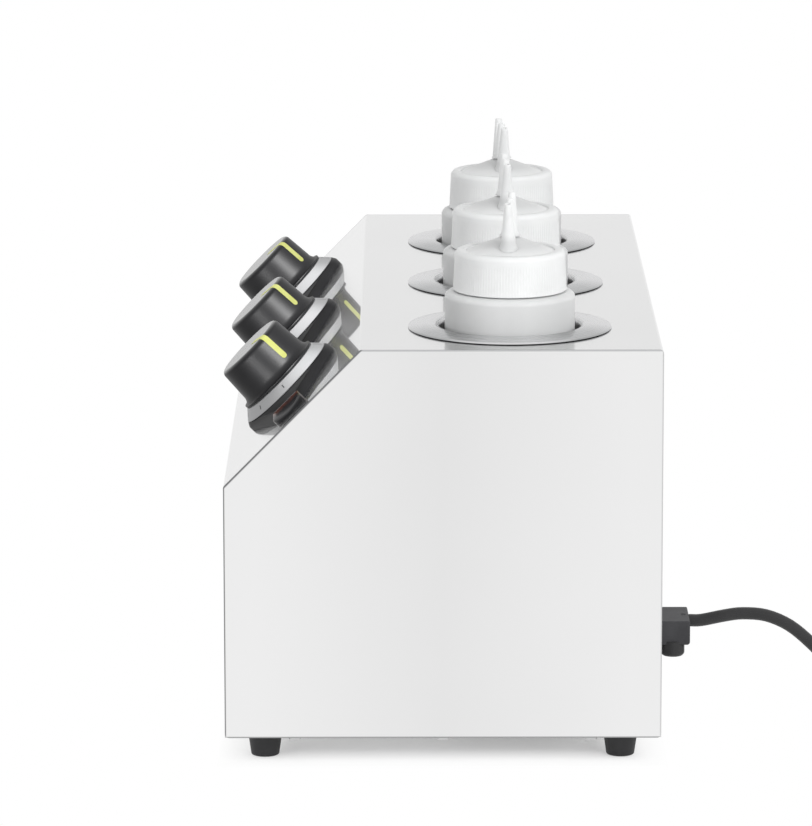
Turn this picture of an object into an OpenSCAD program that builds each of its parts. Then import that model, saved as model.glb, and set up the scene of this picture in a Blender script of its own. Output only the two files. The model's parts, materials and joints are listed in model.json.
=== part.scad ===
// Three-station bottle warmer for hot toppings: a folded steel housing with a sloped
// control face, three heated wells and three squeeze bottles with three-nozzle caps.
// The front faces -Y, the stations run along X, and the feet stand on z = 0.

/* [Body] */
// Width of the housing over both side panels
body_w = 450; // [420:1:520]
// Depth of the housing from the front face to the rear face
body_d = 234; // [222:1:280]
// Height of the housing without its feet
body_h = 211.5; // [205:0.5:240]
// Depth that the sloped control face takes from the top
slope_run = 73; // [66:1:84]
// Height that the sloped control face takes from the front
slope_rise = 74; // [66:1:84]
// Thickness of the steel sheet
sheet = 1.2; // [0.8:0.1:2]
// Outer radius of the folds
fold_r = 2.2; // [2.1:0.1:4]
// Open seam between the wrap and each side panel
seam = 0.35; // [0.2:0.05:0.8]
// Width of the turned-in flange round each side panel
panel_flange = 12; // [8:1:16]
// Height of the lip that the wrap turns down at the back
rear_lip = 20; // [14:1:28]
// Height of the lips that the base plate turns up
base_lip = 14; // [10:1:20]
// Height over which the rear panel lies against its set-back strip
rear_joggle = 10; // [6:1:14]

/* [Wells] */
// Distance between neighbouring stations
well_pitch = 140; // [128:1:150]
// Distance of the first station from the right-hand side face
end_margin = 69; // [69:1:85]
// Inner radius of a well
well_r = 38; // [37:0.5:40]
// Depth of a well from the top plate to its floor
well_depth = 178; // [160:1:180]
// Wall of a well
well_wall = 0.8; // [0.6:0.1:1.2]
// Radius of a well's flange
flange_r = 55; // [50:0.5:58]
// Height of the flange's crown over the top plate
flange_rise = 2; // [1.2:0.1:3]
// Height of a band heater
heater_h = 70; // [40:1:90]
// Thickness of a band heater
heater_t = 3; // [2:0.5:5]
// Height of a band heater's lower edge over the well's floor
heater_lift = 14; // [8:1:25]

/* [Bottles] */
// Radius of a bottle
bottle_r = 35.2; // [33:0.1:36]
// Height of a bottle up to its shoulder
bottle_h = 195; // [185:1:215]
// Wall of a bottle
bottle_wall = 1.2; // [0.8:0.1:2]
// Rise of the shoulder
shoulder_rise = 3.2; // [2:0.1:6]
// Outer radius of the neck
neck_r = 26.5; // [24:0.1:28]
// Height of the neck
neck_h = 17; // [12:0.5:20]
// Outer radius of a cap at its lower edge
cap_r = 30.7; // [30:0.1:33]
// Height of a cap from its lower edge to its rim
cap_h = 22; // [20:0.5:26]
// Radius that a cap loses from its lower edge to its rim
cap_taper = 0.9; // [0:0.1:1.5]
// Thickness of a cap's top
cap_wall = 2; // [1.8:0.1:2.5]
// Radius of the cone in a cap's top, where it meets the rim
cone_r = 24; // [22:0.1:25]
// Depth of the cone's foot below a cap's rim
cone_sink = 1; // [0.5:0.1:2]
// Height of the cone's point over a cap's rim
cone_h = 8.5; // [5:0.5:10]
// Distance of the outer nozzles' feet from a cap's axis
nozzle_pitch = 14; // [12:0.5:15]
// Angle by which the outer nozzles lean outwards
nozzle_lean = 13.5; // [8:0.5:16]
// Length of an outer nozzle
nozzle_len = 25.3; // [18:0.1:30]
// Radius of a nozzle at its foot
nozzle_foot_r = 4.3; // [3.6:0.1:4.6]
// Radius of a nozzle at its tip
nozzle_tip_r = 1.9; // [1.6:0.1:3]
// Radius of the hole through a nozzle
nozzle_bore_r = 0.9; // [0.6:0.1:1.2]

/* [Dials] */
// Distance of the dials' axes from their wells' axes, towards -X
dial_back = 20; // [16:1:24]
// Distance of the dials above the middle of the sloped face
dial_up = -1.3; // [-3:0.1:1]
// Radius of a bezel's round part
bezel_r = 31.4; // [30.5:0.1:32.5]
// Height of a bezel
bezel_h = 5; // [4.8:0.1:6]
// Height of a bezel's upright edge
bezel_edge = 2.4; // [1.8:0.1:3]
// Distance of the bezel's lamp end from the dial's axis
lamp_end = 70; // [66:0.5:71]
// Radius of a bezel's lamp end
lamp_end_r = 10.5; // [9.5:0.5:12]
// Outer radius of a scale ring at its lower edge
ring_r = 29.6; // [29:0.1:29.9]
// Outer radius of a scale ring at its upper edge
ring_top_r = 25; // [24.9:0.1:26]
// Height of a scale ring
ring_h = 5.4; // [4:0.1:6]
// Radius of a knob's face
knob_face_r = 20.7; // [18:0.1:22]
// Radius of a knob's skirt
knob_skirt_r = 24.8; // [24:0.1:26]
// Height of a knob from the skirt's lower edge to its face
knob_h = 23.3; // [18:0.1:28]
// Width of a knob's pointer line
pointer_w = 3.4; // [2:0.1:4]
// Radius of a thermostat's shaft
shaft_r = 3; // [2.5:0.1:4]
// Side of a thermostat's case
thermostat_w = 40; // [34:1:44]
// Depth of a thermostat's case
thermostat_d = 28; // [20:1:32]

/* [Insides] */
// Length of an indicator lamp
lamp_len = 18; // [14:1:24]
// Height of the earth stud
stud_h = 16; // [10:1:20]
// Radius of a wire
wire_r = 1.5; // [1:0.1:2]
// Straight length of a wire where it leaves a terminal
wire_lead = 8; // [6:0.5:9]

/* [Feet] */
// Height of a foot
foot_h = 15; // [10:0.5:25]
// Radius of a foot at the housing
foot_top_r = 8.5; // [7:0.1:11]
// Radius of a foot on the table
foot_low_r = 7.1; // [5:0.1:7.4]
// Distance of a foot's axis from the front or rear face
foot_inset_y = 21; // [18:0.5:40]
// Distance of a foot's axis from a side face
foot_inset_x = 25; // [20:0.5:60]

/* [Cord entry] */
// Distance of the cord entry from the middle of the housing, towards +X
entry_x = 110; // [60:1:160]
// Height of the cord's axis over the table where it leaves
entry_z = 52.5; // [45:0.5:60]
// Width of the entry block
entry_w = 36; // [28:1:40]
// Depth of the entry block behind the rear face
entry_d = 20; // [16:0.5:26]
// Height of the entry block
entry_h = 20; // [16:0.5:24]
// Radius of the clamp cap below the entry block
clamp_r = 6.2; // [5:0.1:8]
// Height of the clamp cap
clamp_h = 7.2; // [5:0.1:10]
// Diameter of the mains cord
cord_d = 7; // [6:0.1:8]

/* [Hidden] */

// Small clearances: flat seats, screws in holes, a shaft in its bush, and parts that lift off
seat_gap = 0.1;
lift_gap = 0.2;
screw_gap = 0.2;
run_gap = 0.05;
skirt_gap = 0.4;
neck_gap = 0.35;

// Colours as in the photograph
steel = [0.86, 0.87, 0.87];
dark_steel = [0.55, 0.56, 0.57];
black = [0.10, 0.10, 0.11];
rubber = [0.06, 0.06, 0.06];
milky = [0.90, 0.91, 0.91];
cap_white = [0.95, 0.95, 0.95];
lime = [0.80, 0.84, 0.22];
brass = [0.78, 0.65, 0.33];
amber = [0.80, 0.22, 0.08];
smoke = [0.16, 0.12, 0.11];
ceramic = [0.88, 0.86, 0.80];
wire_red = [0.55, 0.16, 0.12];

// Heights over the sloped face, along a dial's axis
ring_t = bezel_h;
skirt_t = ring_t + ring_h + skirt_gap;
dial_face_t = skirt_t + knob_h;
ring_bore_r = 21.5;
knob_edge_r = 3;
knob_waist_r = knob_face_r + 1;
knob_waist_t = 5.5;
pointer_depth = 0.8;
pointer_proud = 0.12;
pointer_inner_r = 7;
pointer_end_t = 6.3;
// Direction of each pointer, from the +X side towards the top, as the photograph shows them
pointer_turns = [36, 53, 58];
lamp_u = lamp_end - 10;
lamp_r = 3;
thermostat_screw_r = 2;
thermostat_screw_pitch = 28;
bush_r = shaft_r + 2;
lamp_t = 0.4;
lamp_shoulder = 1.5;
shaft_depth = 14;
base_screw_r = 2;
screw_head_h = base_screw_r;

// Housing profile in the Y-Z plane. The knobs reach out past the front face and the screws'
// heads past the rear face, and the origin is the middle of the whole object.
slope_a = atan2(slope_rise, slope_run);
knob_reach = (dial_face_t - knob_edge_r) * sin(slope_a) + knob_edge_r
    - (dial_up - knob_face_r + knob_edge_r) * cos(slope_a) - slope_run / 2;
rear_reach = screw_head_h;
origin_shift = (max(0, knob_reach) - rear_reach) / 2;
y_front = -body_d / 2 + origin_shift;
y_back = y_front + body_d;
y_fold = y_front + slope_run;
z_low = foot_h;
z_top = z_low + body_h;
z_fold = z_top - slope_rise;
slope_y = (y_front + y_fold) / 2;
slope_z = (z_fold + z_top) / 2;
fold_steps = 6;
wrap_w = body_w - 2 * (sheet + seam);

// Stations, counted from the right-hand end
stations = [1, 2, 3];
well_y = (y_fold + y_back) / 2;
function station_x(k) = body_w / 2 - end_margin - (k - 1) * well_pitch;
function dial_x(k) = station_x(k) - dial_back;
floor_z = z_top - well_depth;
well_hole_r = well_r + well_wall + 2.5;
bottle_z = floor_z + lift_gap;
cap_z = bottle_z + bottle_h + shoulder_rise + 0.5;
neck_rim_z = bottle_z + bottle_h + shoulder_rise + neck_h;
// Turn of each cap on its bottle, as the photograph shows them
cap_turns = [-4, 1.5, 5];

// Places of the screws
base_screw_y = [0.16, 0.5, 0.84];
rear_screw_x = [-0.46, -0.16, 0.16, 0.46];
foot_screw_r = 2;
foot_x = body_w / 2 - foot_inset_x;
foot_y = [y_front + foot_inset_y, y_back - foot_inset_y];
foot_recess = 4;

// Terminal block on the base plate
block_size = [34, 20, 16];
block_y = y_back - 48;
block_z = z_low + sheet;

// Cord, coil and plug
cord_r = cord_d / 2;
entry_back = y_back + entry_d;
coil_outer_r = 42;
coil_step = 7.5;
coil_layer = 7.45;
coil_layers = 4;
coil_turns = 6.25;
coil_steps = 24;
coil_sides = 6;
coil_x = entry_x - coil_outer_r;
coil_y = 268;
lead_end_y = coil_y - cord_d;
lead_points = [
    [entry_x, entry_back, entry_z], [110, 144, 52.6], [110, 157, 55.2], [110, 167, 56.4],
    [110, 180, 55.2], [110, 193, 49.5], [110, 205, 39.5], [110, 214, 30],
    [110, 223, 20.5], [110, 233, 11.5], [110, 243, 6], [110, 252, 3.6], [110, lead_end_y, cord_r]
];
lead_sides = 10;
plug_face_r = 18.6;
plug_len = 40;
plug_roll = 35;
plug_start_x = coil_x - 46;
plug_y = coil_y + coil_outer_r;
pin_r = 2.4;
pin_len = 19;
pin_pitch = 19;

// Height of the coil at turn t: each layer lies flat and climbs in the half turn at its end
layer_turns = coil_turns / coil_layers;
function climb(t, n) = min(1, max(0, (t - n * layer_turns) * 2 + 0.5));
function coil_z(t) = cord_r + coil_layer * (climb(t, 1) + climb(t, 2) + climb(t, 3));
// Distance from the coil's axis at turn t: in, out, in and out again at a steady rate
function coil_r(t) =
    let (n = min(coil_layers - 1, floor(t / layer_turns)), s = t - n * layer_turns)
    coil_outer_r - coil_step * (n % 2 == 0 ? s : layer_turns - s);
function coil_point(t) = [coil_x + coil_r(t) * cos(360 * t), coil_y + coil_r(t) * sin(360 * t), coil_z(t)];
coil_count = round(coil_turns * coil_steps);
coil_loops = [for (i = [0 : coil_count]) coil_point(i / coil_steps)];
coil_end = coil_loops[coil_count];
coil_points = concat(
    [[coil_x + coil_outer_r, lead_end_y, cord_r]], coil_loops,
    [
        coil_end + [-cord_d, 0, 0], [coil_x - 16, plug_y, coil_end.z],
        [coil_x - 26, plug_y, (coil_end.z + plug_face_r) / 2], [coil_x - 36, plug_y, plug_face_r],
        [plug_start_x, plug_y, plug_face_r]
    ]
);
// Least gap between turns, measured on points at least half a turn apart
coil_gap = min([
    for (i = [0 : coil_count - 12], j = [i + 12 : coil_count]) norm(coil_loops[i] - coil_loops[j])
]) - cord_d;
function path_length(v) = len(v) < 2 ? 0 : [for (i = 1, s = norm(v[1] - v[0]); i < len(v);
    i = i + 1, s = s + (i < len(v) ? norm(v[i] - v[i - 1]) : 0)) s][len(v) - 2];
echo(least_gap_in_coil_mm = coil_gap);
echo(cord_length_mm = path_length(lead_points) + path_length(coil_points));

function unit(v) = v / norm(v);

// Points of the housing profile, moved in by d from the outer faces
function profile(d) = [
    [y_front + d, z_low + d],
    [y_front + d, z_fold - d * (1 - sin(slope_a)) / cos(slope_a)],
    [y_fold + d * tan(slope_a / 2), z_top - d],
    [y_back - d, z_top - d],
    [y_back - d, z_low + d]
];
function turned(v) = [for (i = [len(v) - 1 : -1 : 0]) v[i]];
// Arc of radius r that rounds the corner at q between p and s
function corner_arc(p, q, s, r) =
    let (a = unit(p - q), b = unit(s - q))
    let (half = acos(a * b) / 2, side = sign(a.x * b.y - a.y * b.x))
    let (c = q + unit(a + b) * r / sin(half), from = q + a * r / tan(half) - c)
    let (start = atan2(from.y, from.x), sweep = -side * (180 - 2 * half))
    [for (i = [0 : fold_steps]) c + r * [cos(start + sweep * i / fold_steps), sin(start + sweep * i / fold_steps)]];
function rounded(v, r) = [
    for (i = [0 : len(v) - 1]) each corner_arc(v[(i + len(v) - 1) % len(v)], v[i], v[(i + 1) % len(v)], r)
];
// Open path of the wrap: front edge, two folds, rear fold and the end of the rear lip
function wrap_path(d) =
    let (v = profile(d), r = fold_r - d)
    concat([[y_front + d, z_low]], corner_arc(v[0], v[1], v[2], r), corner_arc(v[1], v[2], v[3], r),
        corner_arc(v[2], v[3], v[4], r), [[y_back - d, z_top - rear_lip]]);

// Turns a drawing in the Y-Z plane into a solid of width w, centred on x = 0
module across(w) {
    translate([-w / 2, 0, 0])
        rotate([90, 0, 90])
            linear_extrude(w)
                children();
}

// Moves to a dial: x along the row, y up the slope, z out of the sloped face
module at_dial(k) {
    translate([dial_x(k), slope_y, slope_z])
        rotate([slope_a, 0, 0])
            translate([0, dial_up, 0])
                children();
}

module at_well(k) {
    translate([station_x(k), well_y, 0])
        children();
}

// Smooth closed tube along a list of points, with flat ends square to the first and last run
module tube(points, r, sides) {
    n = len(points);
    ways = [for (i = [0 : n - 1]) unit(points[min(i + 1, n - 1)] - points[max(i - 1, 0)])];
    first = unit(cross(ways[0], abs(ways[0].z) > 0.9 ? [1, 0, 0] : [0, 0, 1]));
    flats = [for (i = 0, s = first; i < n; i = i + 1, s = i < n ? square_to(ways[i], s) : s) s];
    rings = [for (i = [0 : n - 1]) tube_ring(points[i], ways[i], flats[i], r, sides)];
    faces = [
        for (i = [0 : n - 2], j = [0 : sides - 1])
            let (a = i * sides + j, b = i * sides + (j + 1) % sides)
            each [[a, b + sides, a + sides], [a, b, b + sides]]
    ];
    low_end = [for (j = [1 : sides - 2]) [0, j + 1, j]];
    high_end = [for (j = [1 : sides - 2]) [0, j, j + 1] + (n - 1) * sides * [1, 1, 1]];
    polyhedron([for (ring = rings) each ring], concat(faces, low_end, high_end), convexity = 10);
}
// The direction nearest to s that is square to a tube's way, so that a tube doesn't twist
function square_to(way, s) = unit(s - (s * way) * way);
// One ring of a tube round p, its first corner in the direction flat
function tube_ring(p, way, flat, r, sides) =
    let (up = cross(flat, way))
    [for (j = [0 : sides - 1]) p + r * (cos(360 * j / sides) * flat + sin(360 * j / sides) * up)];

// Folded sheet that forms the front, the sloped face, the top and a lip at the back
module housing_wrap() {
    color(steel)
        difference() {
            across(wrap_w)
                polygon(concat(wrap_path(0), turned(wrap_path(sheet))));
            for (k = stations) {
                at_well(k)
                    translate([0, 0, z_top - 2 * sheet])
                        cylinder(r = well_hole_r, h = 3 * sheet, $fn = 96);
                at_dial(k)
                    dial_holes();
            }
            for (x = rear_screw_x)
                translate([x * wrap_w, y_back, z_top - rear_lip / 2])
                    screw_hole(base_screw_r + screw_gap);
        }
}

// Holes in the sloped face behind one dial
module dial_holes() {
    translate([0, 0, -2 * sheet]) {
        cylinder(r = bush_r + screw_gap, h = 3 * sheet, $fn = 48);
        translate([lamp_u, 0, 0])
            cylinder(r = lamp_r + screw_gap, h = 3 * sheet, $fn = 32);
        for (side = [-1, 1])
            translate([side * thermostat_screw_pitch / 2, 0, 0])
                cylinder(r = thermostat_screw_r + screw_gap, h = 3 * sheet, $fn = 32);
    }
}

// Round hole along Y through the sheets at the back
module screw_hole(r) {
    rotate([90, 0, 0])
        cylinder(r = r, h = 8 * sheet, center = true, $fn = 32);
}

// Flat side panel with a flange turned in all the way round
module side_panel(side) {
    inset = sheet + seat_gap;
    color(steel)
        difference() {
            mirror([side < 0 ? 1 : 0, 0, 0])
                translate([body_w / 2, 0, 0])
                    union() {
                        translate([-sheet / 2, 0, 0])
                            across(sheet)
                                polygon(rounded(profile(0), fold_r));
                        translate([-sheet - panel_flange / 2 + 0.01, 0, 0])
                            across(panel_flange)
                                difference() {
                                    polygon(profile(inset));
                                    polygon(profile(inset + sheet));
                                }
                    }
            for (y = base_screw_y)
                translate([side * (body_w / 2 - sheet - panel_flange / 2), y_front + y * body_d, z_low - 1])
                    cylinder(r = base_screw_r + screw_gap, h = 5 * sheet + 1, $fn = 32);
        }
}

// Rear panel with a set-back strip that lies behind the wrap's lip
module rear_panel() {
    top = z_top - rear_lip - seam;
    tongue_h = rear_lip * 0.8;
    color(steel)
        difference() {
            union() {
                translate([-wrap_w / 2, y_back - sheet, z_low])
                    cube([wrap_w, sheet, top - z_low]);
                across(wrap_w - 2 * (panel_flange + sheet))
                    polygon([
                        [y_back - sheet / 2, top - rear_joggle], [y_back - 2 * sheet, top - rear_joggle],
                        [y_back - 2 * sheet, top + tongue_h], [y_back - sheet, top + tongue_h],
                        [y_back - sheet, top], [y_back - sheet / 2, top]
                    ]);
            }
            for (x = rear_screw_x) {
                translate([x * wrap_w, y_back, z_top - rear_lip / 2])
                    screw_hole(base_screw_r + screw_gap);
                translate([x * wrap_w, y_back, z_low + base_lip * 0.6])
                    screw_hole(base_screw_r + screw_gap);
            }
            entry_hole();
        }
}

// Hole in the rear panel for the cord
module entry_hole() {
    translate([entry_x, y_back, entry_z])
        rotate([90, 0, 0])
            cylinder(r = cord_r + 2, h = 6 * sheet, center = true, $fn = 48);
}

// Base plate with lips turned up at the front and back, vent slots and foot holes
module base_plate() {
    depth = body_d - 2 * sheet;
    lip_w = wrap_w - 2 * (panel_flange + 2 * sheet);
    slot_w = 4;
    slot_len = 60;
    slot_pitch = 14;
    color(steel)
        difference() {
            union() {
                translate([-wrap_w / 2, y_front + sheet, z_low])
                    cube([wrap_w, depth, sheet]);
                translate([-lip_w / 2, y_front + sheet, z_low])
                    cube([lip_w, sheet, base_lip]);
                translate([-lip_w / 2, y_back - 2 * sheet, z_low])
                    cube([lip_w, sheet, base_lip]);
            }
            for (k = stations, i = [-2 : 2])
                translate([station_x(k) + i * slot_pitch - slot_w / 2, well_y - slot_len / 2, z_low - 1])
                    cube([slot_w, slot_len, sheet + 2]);
            for (x = [-1, 1], y = foot_y)
                translate([x * foot_x, y, z_low - 1])
                    cylinder(r = foot_screw_r + screw_gap, h = sheet + 2, $fn = 32);
            for (side = [-1, 1], y = base_screw_y)
                translate([side * (body_w / 2 - sheet - panel_flange / 2), y_front + y * body_d, z_low - 1])
                    cylinder(r = base_screw_r + screw_gap, h = sheet + 2, $fn = 32);
            for (x = rear_screw_x)
                translate([x * wrap_w, y_back, z_low + base_lip * 0.6])
                    screw_hole(base_screw_r + screw_gap);
        }
}

// Pan-head screw along +Z, its head's seat at z = 0 and its head below
module pan_screw(r, length, head_r) {
    head_h = r;
    difference() {
        union() {
            cylinder(r = r, h = length, $fn = 32);
            translate([0, 0, -head_h])
                cylinder(r1 = head_r * 0.8, r2 = head_r, h = head_h, $fn = 32);
        }
        for (turn = [0, 90])
            rotate([0, 0, turn])
                translate([-head_r * 0.5, -r * 0.15, -head_h - 1])
                    cube([head_r, r * 0.3, 1 + head_h * 0.5]);
    }
}

// Screws from below, through the base plate into the side panels' flanges
module base_screws() {
    color(dark_steel)
        for (side = [-1, 1], y = base_screw_y)
            translate([side * (body_w / 2 - sheet - panel_flange / 2), y_front + y * body_d, z_low])
                pan_screw(base_screw_r, 4 * sheet, 2 * base_screw_r);
}

// Screws that hold the rear panel to the wrap's lip and to the base plate
module rear_screws() {
    color(dark_steel)
        for (x = rear_screw_x, z = [z_top - rear_lip / 2, z_low + base_lip * 0.6])
            translate([x * wrap_w, y_back, z])
                rotate([90, 0, 0])
                    pan_screw(base_screw_r, 4 * sheet, 2 * base_screw_r);
}

// Tapered rubber feet with a recess for the screw's head
module feet() {
    color(rubber)
        for (x = [-1, 1], y = foot_y)
            translate([x * foot_x, y, 0])
                difference() {
                    rotate_extrude($fn = 64)
                        polygon([
                            [foot_screw_r + screw_gap, 0], [foot_low_r - 0.8, 0], [foot_low_r, 0.8],
                            [foot_top_r, foot_h - 1], [foot_top_r, foot_h], [foot_screw_r + screw_gap, foot_h]
                        ]);
                    translate([0, 0, -1])
                        cylinder(r = 2 * foot_screw_r + screw_gap, h = foot_recess + foot_screw_r + 1, $fn = 32);
                }
}

module foot_screws() {
    seat = foot_recess + foot_screw_r;
    nut_z = z_low + sheet;
    color(dark_steel)
        for (x = [-1, 1], y = foot_y)
            translate([x * foot_x, y, 0]) {
                translate([0, 0, seat])
                    pan_screw(foot_screw_r, nut_z + 4 - seat, 2 * foot_screw_r);
                translate([0, 0, nut_z])
                    cylinder(r = 2 * foot_screw_r, h = 3, $fn = 6);
            }
}

// Drawn can that hangs in the top plate by its domed flange
module well(k) {
    outer_r = well_r + well_wall;
    neck_z = z_top - 5;
    foot_round = 5;
    color(steel)
        at_well(k)
            rotate_extrude($fn = 128)
                polygon(concat(
                    [[0, floor_z - well_wall]],
                    quarter([outer_r - foot_round, floor_z - well_wall + foot_round], foot_round, 270),
                    [[outer_r, neck_z], [well_hole_r - 0.5, z_top]],
                    [[flange_r - 0.3, z_top], [flange_r, z_top + 0.3], [flange_r, z_top + 0.7]],
                    flange_crown(),
                    [[well_r + 1.2, z_top - 1], [well_r, neck_z]],
                    turned(quarter([well_r - foot_round + well_wall, floor_z + foot_round - well_wall],
                        foot_round - well_wall, 270)),
                    [[0, floor_z]]
                ));
}
// Domed upper side of the flange, from its edge in to the throat
function flange_crown() =
    let (in = well_r + 3, out = flange_r)
    [for (i = [1 : 9]) let (s = i / 9) [out + (in - out) * s, z_top + 0.7 + (flange_rise - 0.7) * sin(115 * s)]];
// Quarter circle about c, from angle a on
function quarter(c, r, a) = [for (i = [0 : 5]) c + r * [cos(a + 18 * i), sin(a + 18 * i)]];

// Split band heater round a well, with its clamping lugs, bolt and two terminals
module band_heater(k) {
    in_r = well_r + well_wall;
    out_r = in_r + heater_t;
    z = floor_z + heater_lift;
    split = 8;
    lug = 9;
    color(dark_steel)
        at_well(k)
            translate([0, 0, z]) {
                difference() {
                    cylinder(r = out_r, h = heater_h, $fn = 96);
                    translate([0, 0, -1])
                        cylinder(r = in_r, h = heater_h + 2, $fn = 96);
                    translate([0, -split / 2, -1])
                        cube([out_r + 1, split, heater_h + 2]);
                }
                for (side = [-1, 1])
                    translate([in_r + 1, side * (split / 2 + 1) - 1, heater_h / 2 - 8])
                        cube([heater_t + lug, 2, 16]);
                translate([out_r + lug / 2, split, heater_h / 2])
                    rotate([90, 0, 0])
                        cylinder(r = 2, h = 2 * split, $fn = 24);
                for (side = [-1, 1])
                    translate([-out_r + 1, side * 8, heater_h / 2])
                        rotate([0, -90, 0])
                            cylinder(r = 3, h = 7, $fn = 24);
            }
}

// Rotary thermostat behind the sloped face, with the bush that its shaft turns in
module thermostat(k) {
    color(ceramic)
        at_dial(k)
            difference() {
                union() {
                    translate([-thermostat_w / 2, -thermostat_w / 2, -sheet - thermostat_d])
                        cube([thermostat_w, thermostat_w, thermostat_d]);
                    translate([0, 0, -sheet - 1])
                        cylinder(r = bush_r, h = sheet + 4, $fn = 48);
                    for (side = [-1, 1])
                        translate([side * thermostat_w / 4 - 3, -0.4, -sheet - thermostat_d - 8])
                            cube([6, 0.8, 9]);
                }
                translate([0, 0, -sheet - shaft_depth])
                    cylinder(r = shaft_r + run_gap, h = shaft_depth + sheet + 4, $fn = 48);
                for (side = [-1, 1])
                    translate([side * thermostat_screw_pitch / 2, 0, -sheet - 9])
                        cylinder(r = thermostat_screw_r + screw_gap, h = 10, $fn = 32);
            }
}

// Two screws that hold each thermostat to the sloped face
module thermostat_screws() {
    color(dark_steel)
        for (k = stations)
            at_dial(k)
                for (side = [-1, 1])
                    translate([side * thermostat_screw_pitch / 2, 0, 0])
                        rotate([180, 0, 0])
                            pan_screw(thermostat_screw_r, 8, 1.8 * thermostat_screw_r);
}

// Sensing bulb on the well's wall and the thin tube back to the thermostat
module capillary(k) {
    bulb_r = 3;
    bulb_z = floor_z + heater_lift + heater_h + 8;
    bulb_h = 45;
    bulb_y = -(well_r + well_wall + bulb_r);
    tube_r = 0.9;
    case_end = [-dial_back, slope_y - well_y, slope_z] + tube_rise(dial_up, -sheet - thermostat_d);
    color(brass)
        at_well(k) {
            translate([0, bulb_y, bulb_z])
                cylinder(r = bulb_r, h = bulb_h, $fn = 32);
            tube([
                case_end, case_end + tube_rise(0, -6), case_end + [0, 6, -16],
                [0, bulb_y - 16, bulb_z - 10], [0, bulb_y - 8, bulb_z - 18], [0, bulb_y - 1, bulb_z - 12],
                [0, bulb_y, bulb_z - 5], [0, bulb_y, bulb_z + 3]
            ], tube_r, 8);
        }
}
// A step up the slope by s and out of it by t, in the Y-Z plane
function tube_rise(s, t) = [0, s * cos(slope_a) - t * sin(slope_a), s * sin(slope_a) + t * cos(slope_a)];

// Outer form of a bezel: a round part and a tongue that slopes down to the lamp's end
module bezel_form() {
    nose_h = 0.8;
    brow_h = bezel_h - 0.9;
    hull() {
        cylinder(r = bezel_r, h = bezel_edge, $fn = 72);
        cylinder(r = bezel_r - 1.5, h = bezel_h, $fn = 72);
        translate([lamp_end - 24.5, 0, 0])
            cylinder(r = lamp_end_r - 2, h = brow_h, $fn = 48);
        translate([lamp_end - lamp_end_r, 0, 0])
            cylinder(r = lamp_end_r, h = nose_h, $fn = 72);
    }
}

// Outline of the lamp's window, seen along the dial's axis and grown by d
module window_prism(d) {
    in_u = lamp_end - 17;
    half_w = lamp_end_r - 1.5;
    translate([0, 0, -1])
        linear_extrude(bezel_h + 2)
            polygon([
                [in_u - d, 1 - half_w - d], [in_u + 4, -half_w - d], [lamp_end + 2, -half_w - d],
                [lamp_end + 2, half_w + d], [in_u + 4, half_w + d], [in_u - d, half_w - 1 + d]
            ]);
}

// Black moulded bezel with room for the thermostat's screws and the lamp's window
module bezel(k) {
    color(black)
        at_dial(k)
            difference() {
                bezel_form();
                window_prism(seat_gap);
                translate([0, 0, -1])
                    cylinder(r = bush_r + 1, h = bezel_h + 2, $fn = 48);
                translate([0, 0, -1])
                    cylinder(r = thermostat_screw_pitch / 2 + 5, h = 5, $fn = 64);
            }
}

// Smoked lens that fills the window, hollow over the lamp
module lamp_lens(k) {
    color(smoke)
        at_dial(k)
            difference() {
                intersection() {
                    bezel_form();
                    window_prism(0);
                }
                translate([lamp_u, 0, -1])
                    cylinder(r = lamp_r + 1, h = 1 + lamp_t + 0.6, $fn = 32);
            }
}

// Small lamps under the lenses
module indicator_lamps() {
    color(amber)
        for (k = stations)
            at_dial(k)
                translate([lamp_u, 0, lamp_t - lamp_len]) {
                    cylinder(r = lamp_r, h = lamp_len, $fn = 32);
                    cylinder(r = lamp_r + lamp_shoulder, h = lamp_len - lamp_t - sheet, $fn = 32);
                }
}

// Bright bevelled ring that carries the scale
module scale_ring(k) {
    color(steel)
        at_dial(k)
            rotate_extrude($fn = 128)
                polygon([
                    [ring_bore_r, ring_t], [ring_r, ring_t], [ring_r, ring_t + 0.4],
                    [ring_top_r, ring_t + ring_h], [ring_bore_r, ring_t + ring_h]
                ]);
}

// Steel shaft that turns in the thermostat's bush and carries the knob
module shaft(k) {
    tail = 1;
    color(dark_steel)
        at_dial(k)
            translate([0, 0, tail - sheet - shaft_depth])
                cylinder(r = shaft_r, h = sheet + shaft_depth - tail + skirt_t + knob_h * 0.7, $fn = 48);
}

// Outline of a knob in radius and height, grown by d
function knob_outline(d) = concat(
    [[0, skirt_t], [knob_skirt_r + d, skirt_t], [knob_skirt_r + d, skirt_t + 1.2]],
    [for (i = [1 : 6]) let (a = 15 * i)
        [knob_skirt_r + d - (knob_skirt_r - knob_waist_r) * sin(a),
            skirt_t + 1.2 + (knob_waist_t - 1.2) * (1 - cos(a))]],
    [for (i = [0 : 6]) let (a = 15 * i)
        [knob_face_r - knob_edge_r + (knob_edge_r + d) * cos(a),
            skirt_t + knob_h - knob_edge_r + (knob_edge_r + d) * sin(a)]],
    [[0, skirt_t + knob_h + d]]
);

// Strip across a knob that its pointer lies in, from near the axis out and down the side
module pointer_strip(k, w) {
    rotate([0, 0, pointer_turns[k - 1]]) {
        translate([pointer_inner_r, -w / 2, skirt_t + pointer_end_t + w / 2])
            cube([knob_skirt_r, w, knob_h]);
        translate([pointer_inner_r, 0, skirt_t + pointer_end_t + w / 2])
            rotate([0, 90, 0])
                cylinder(r = w / 2, h = knob_skirt_r, $fn = 32);
    }
}

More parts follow.
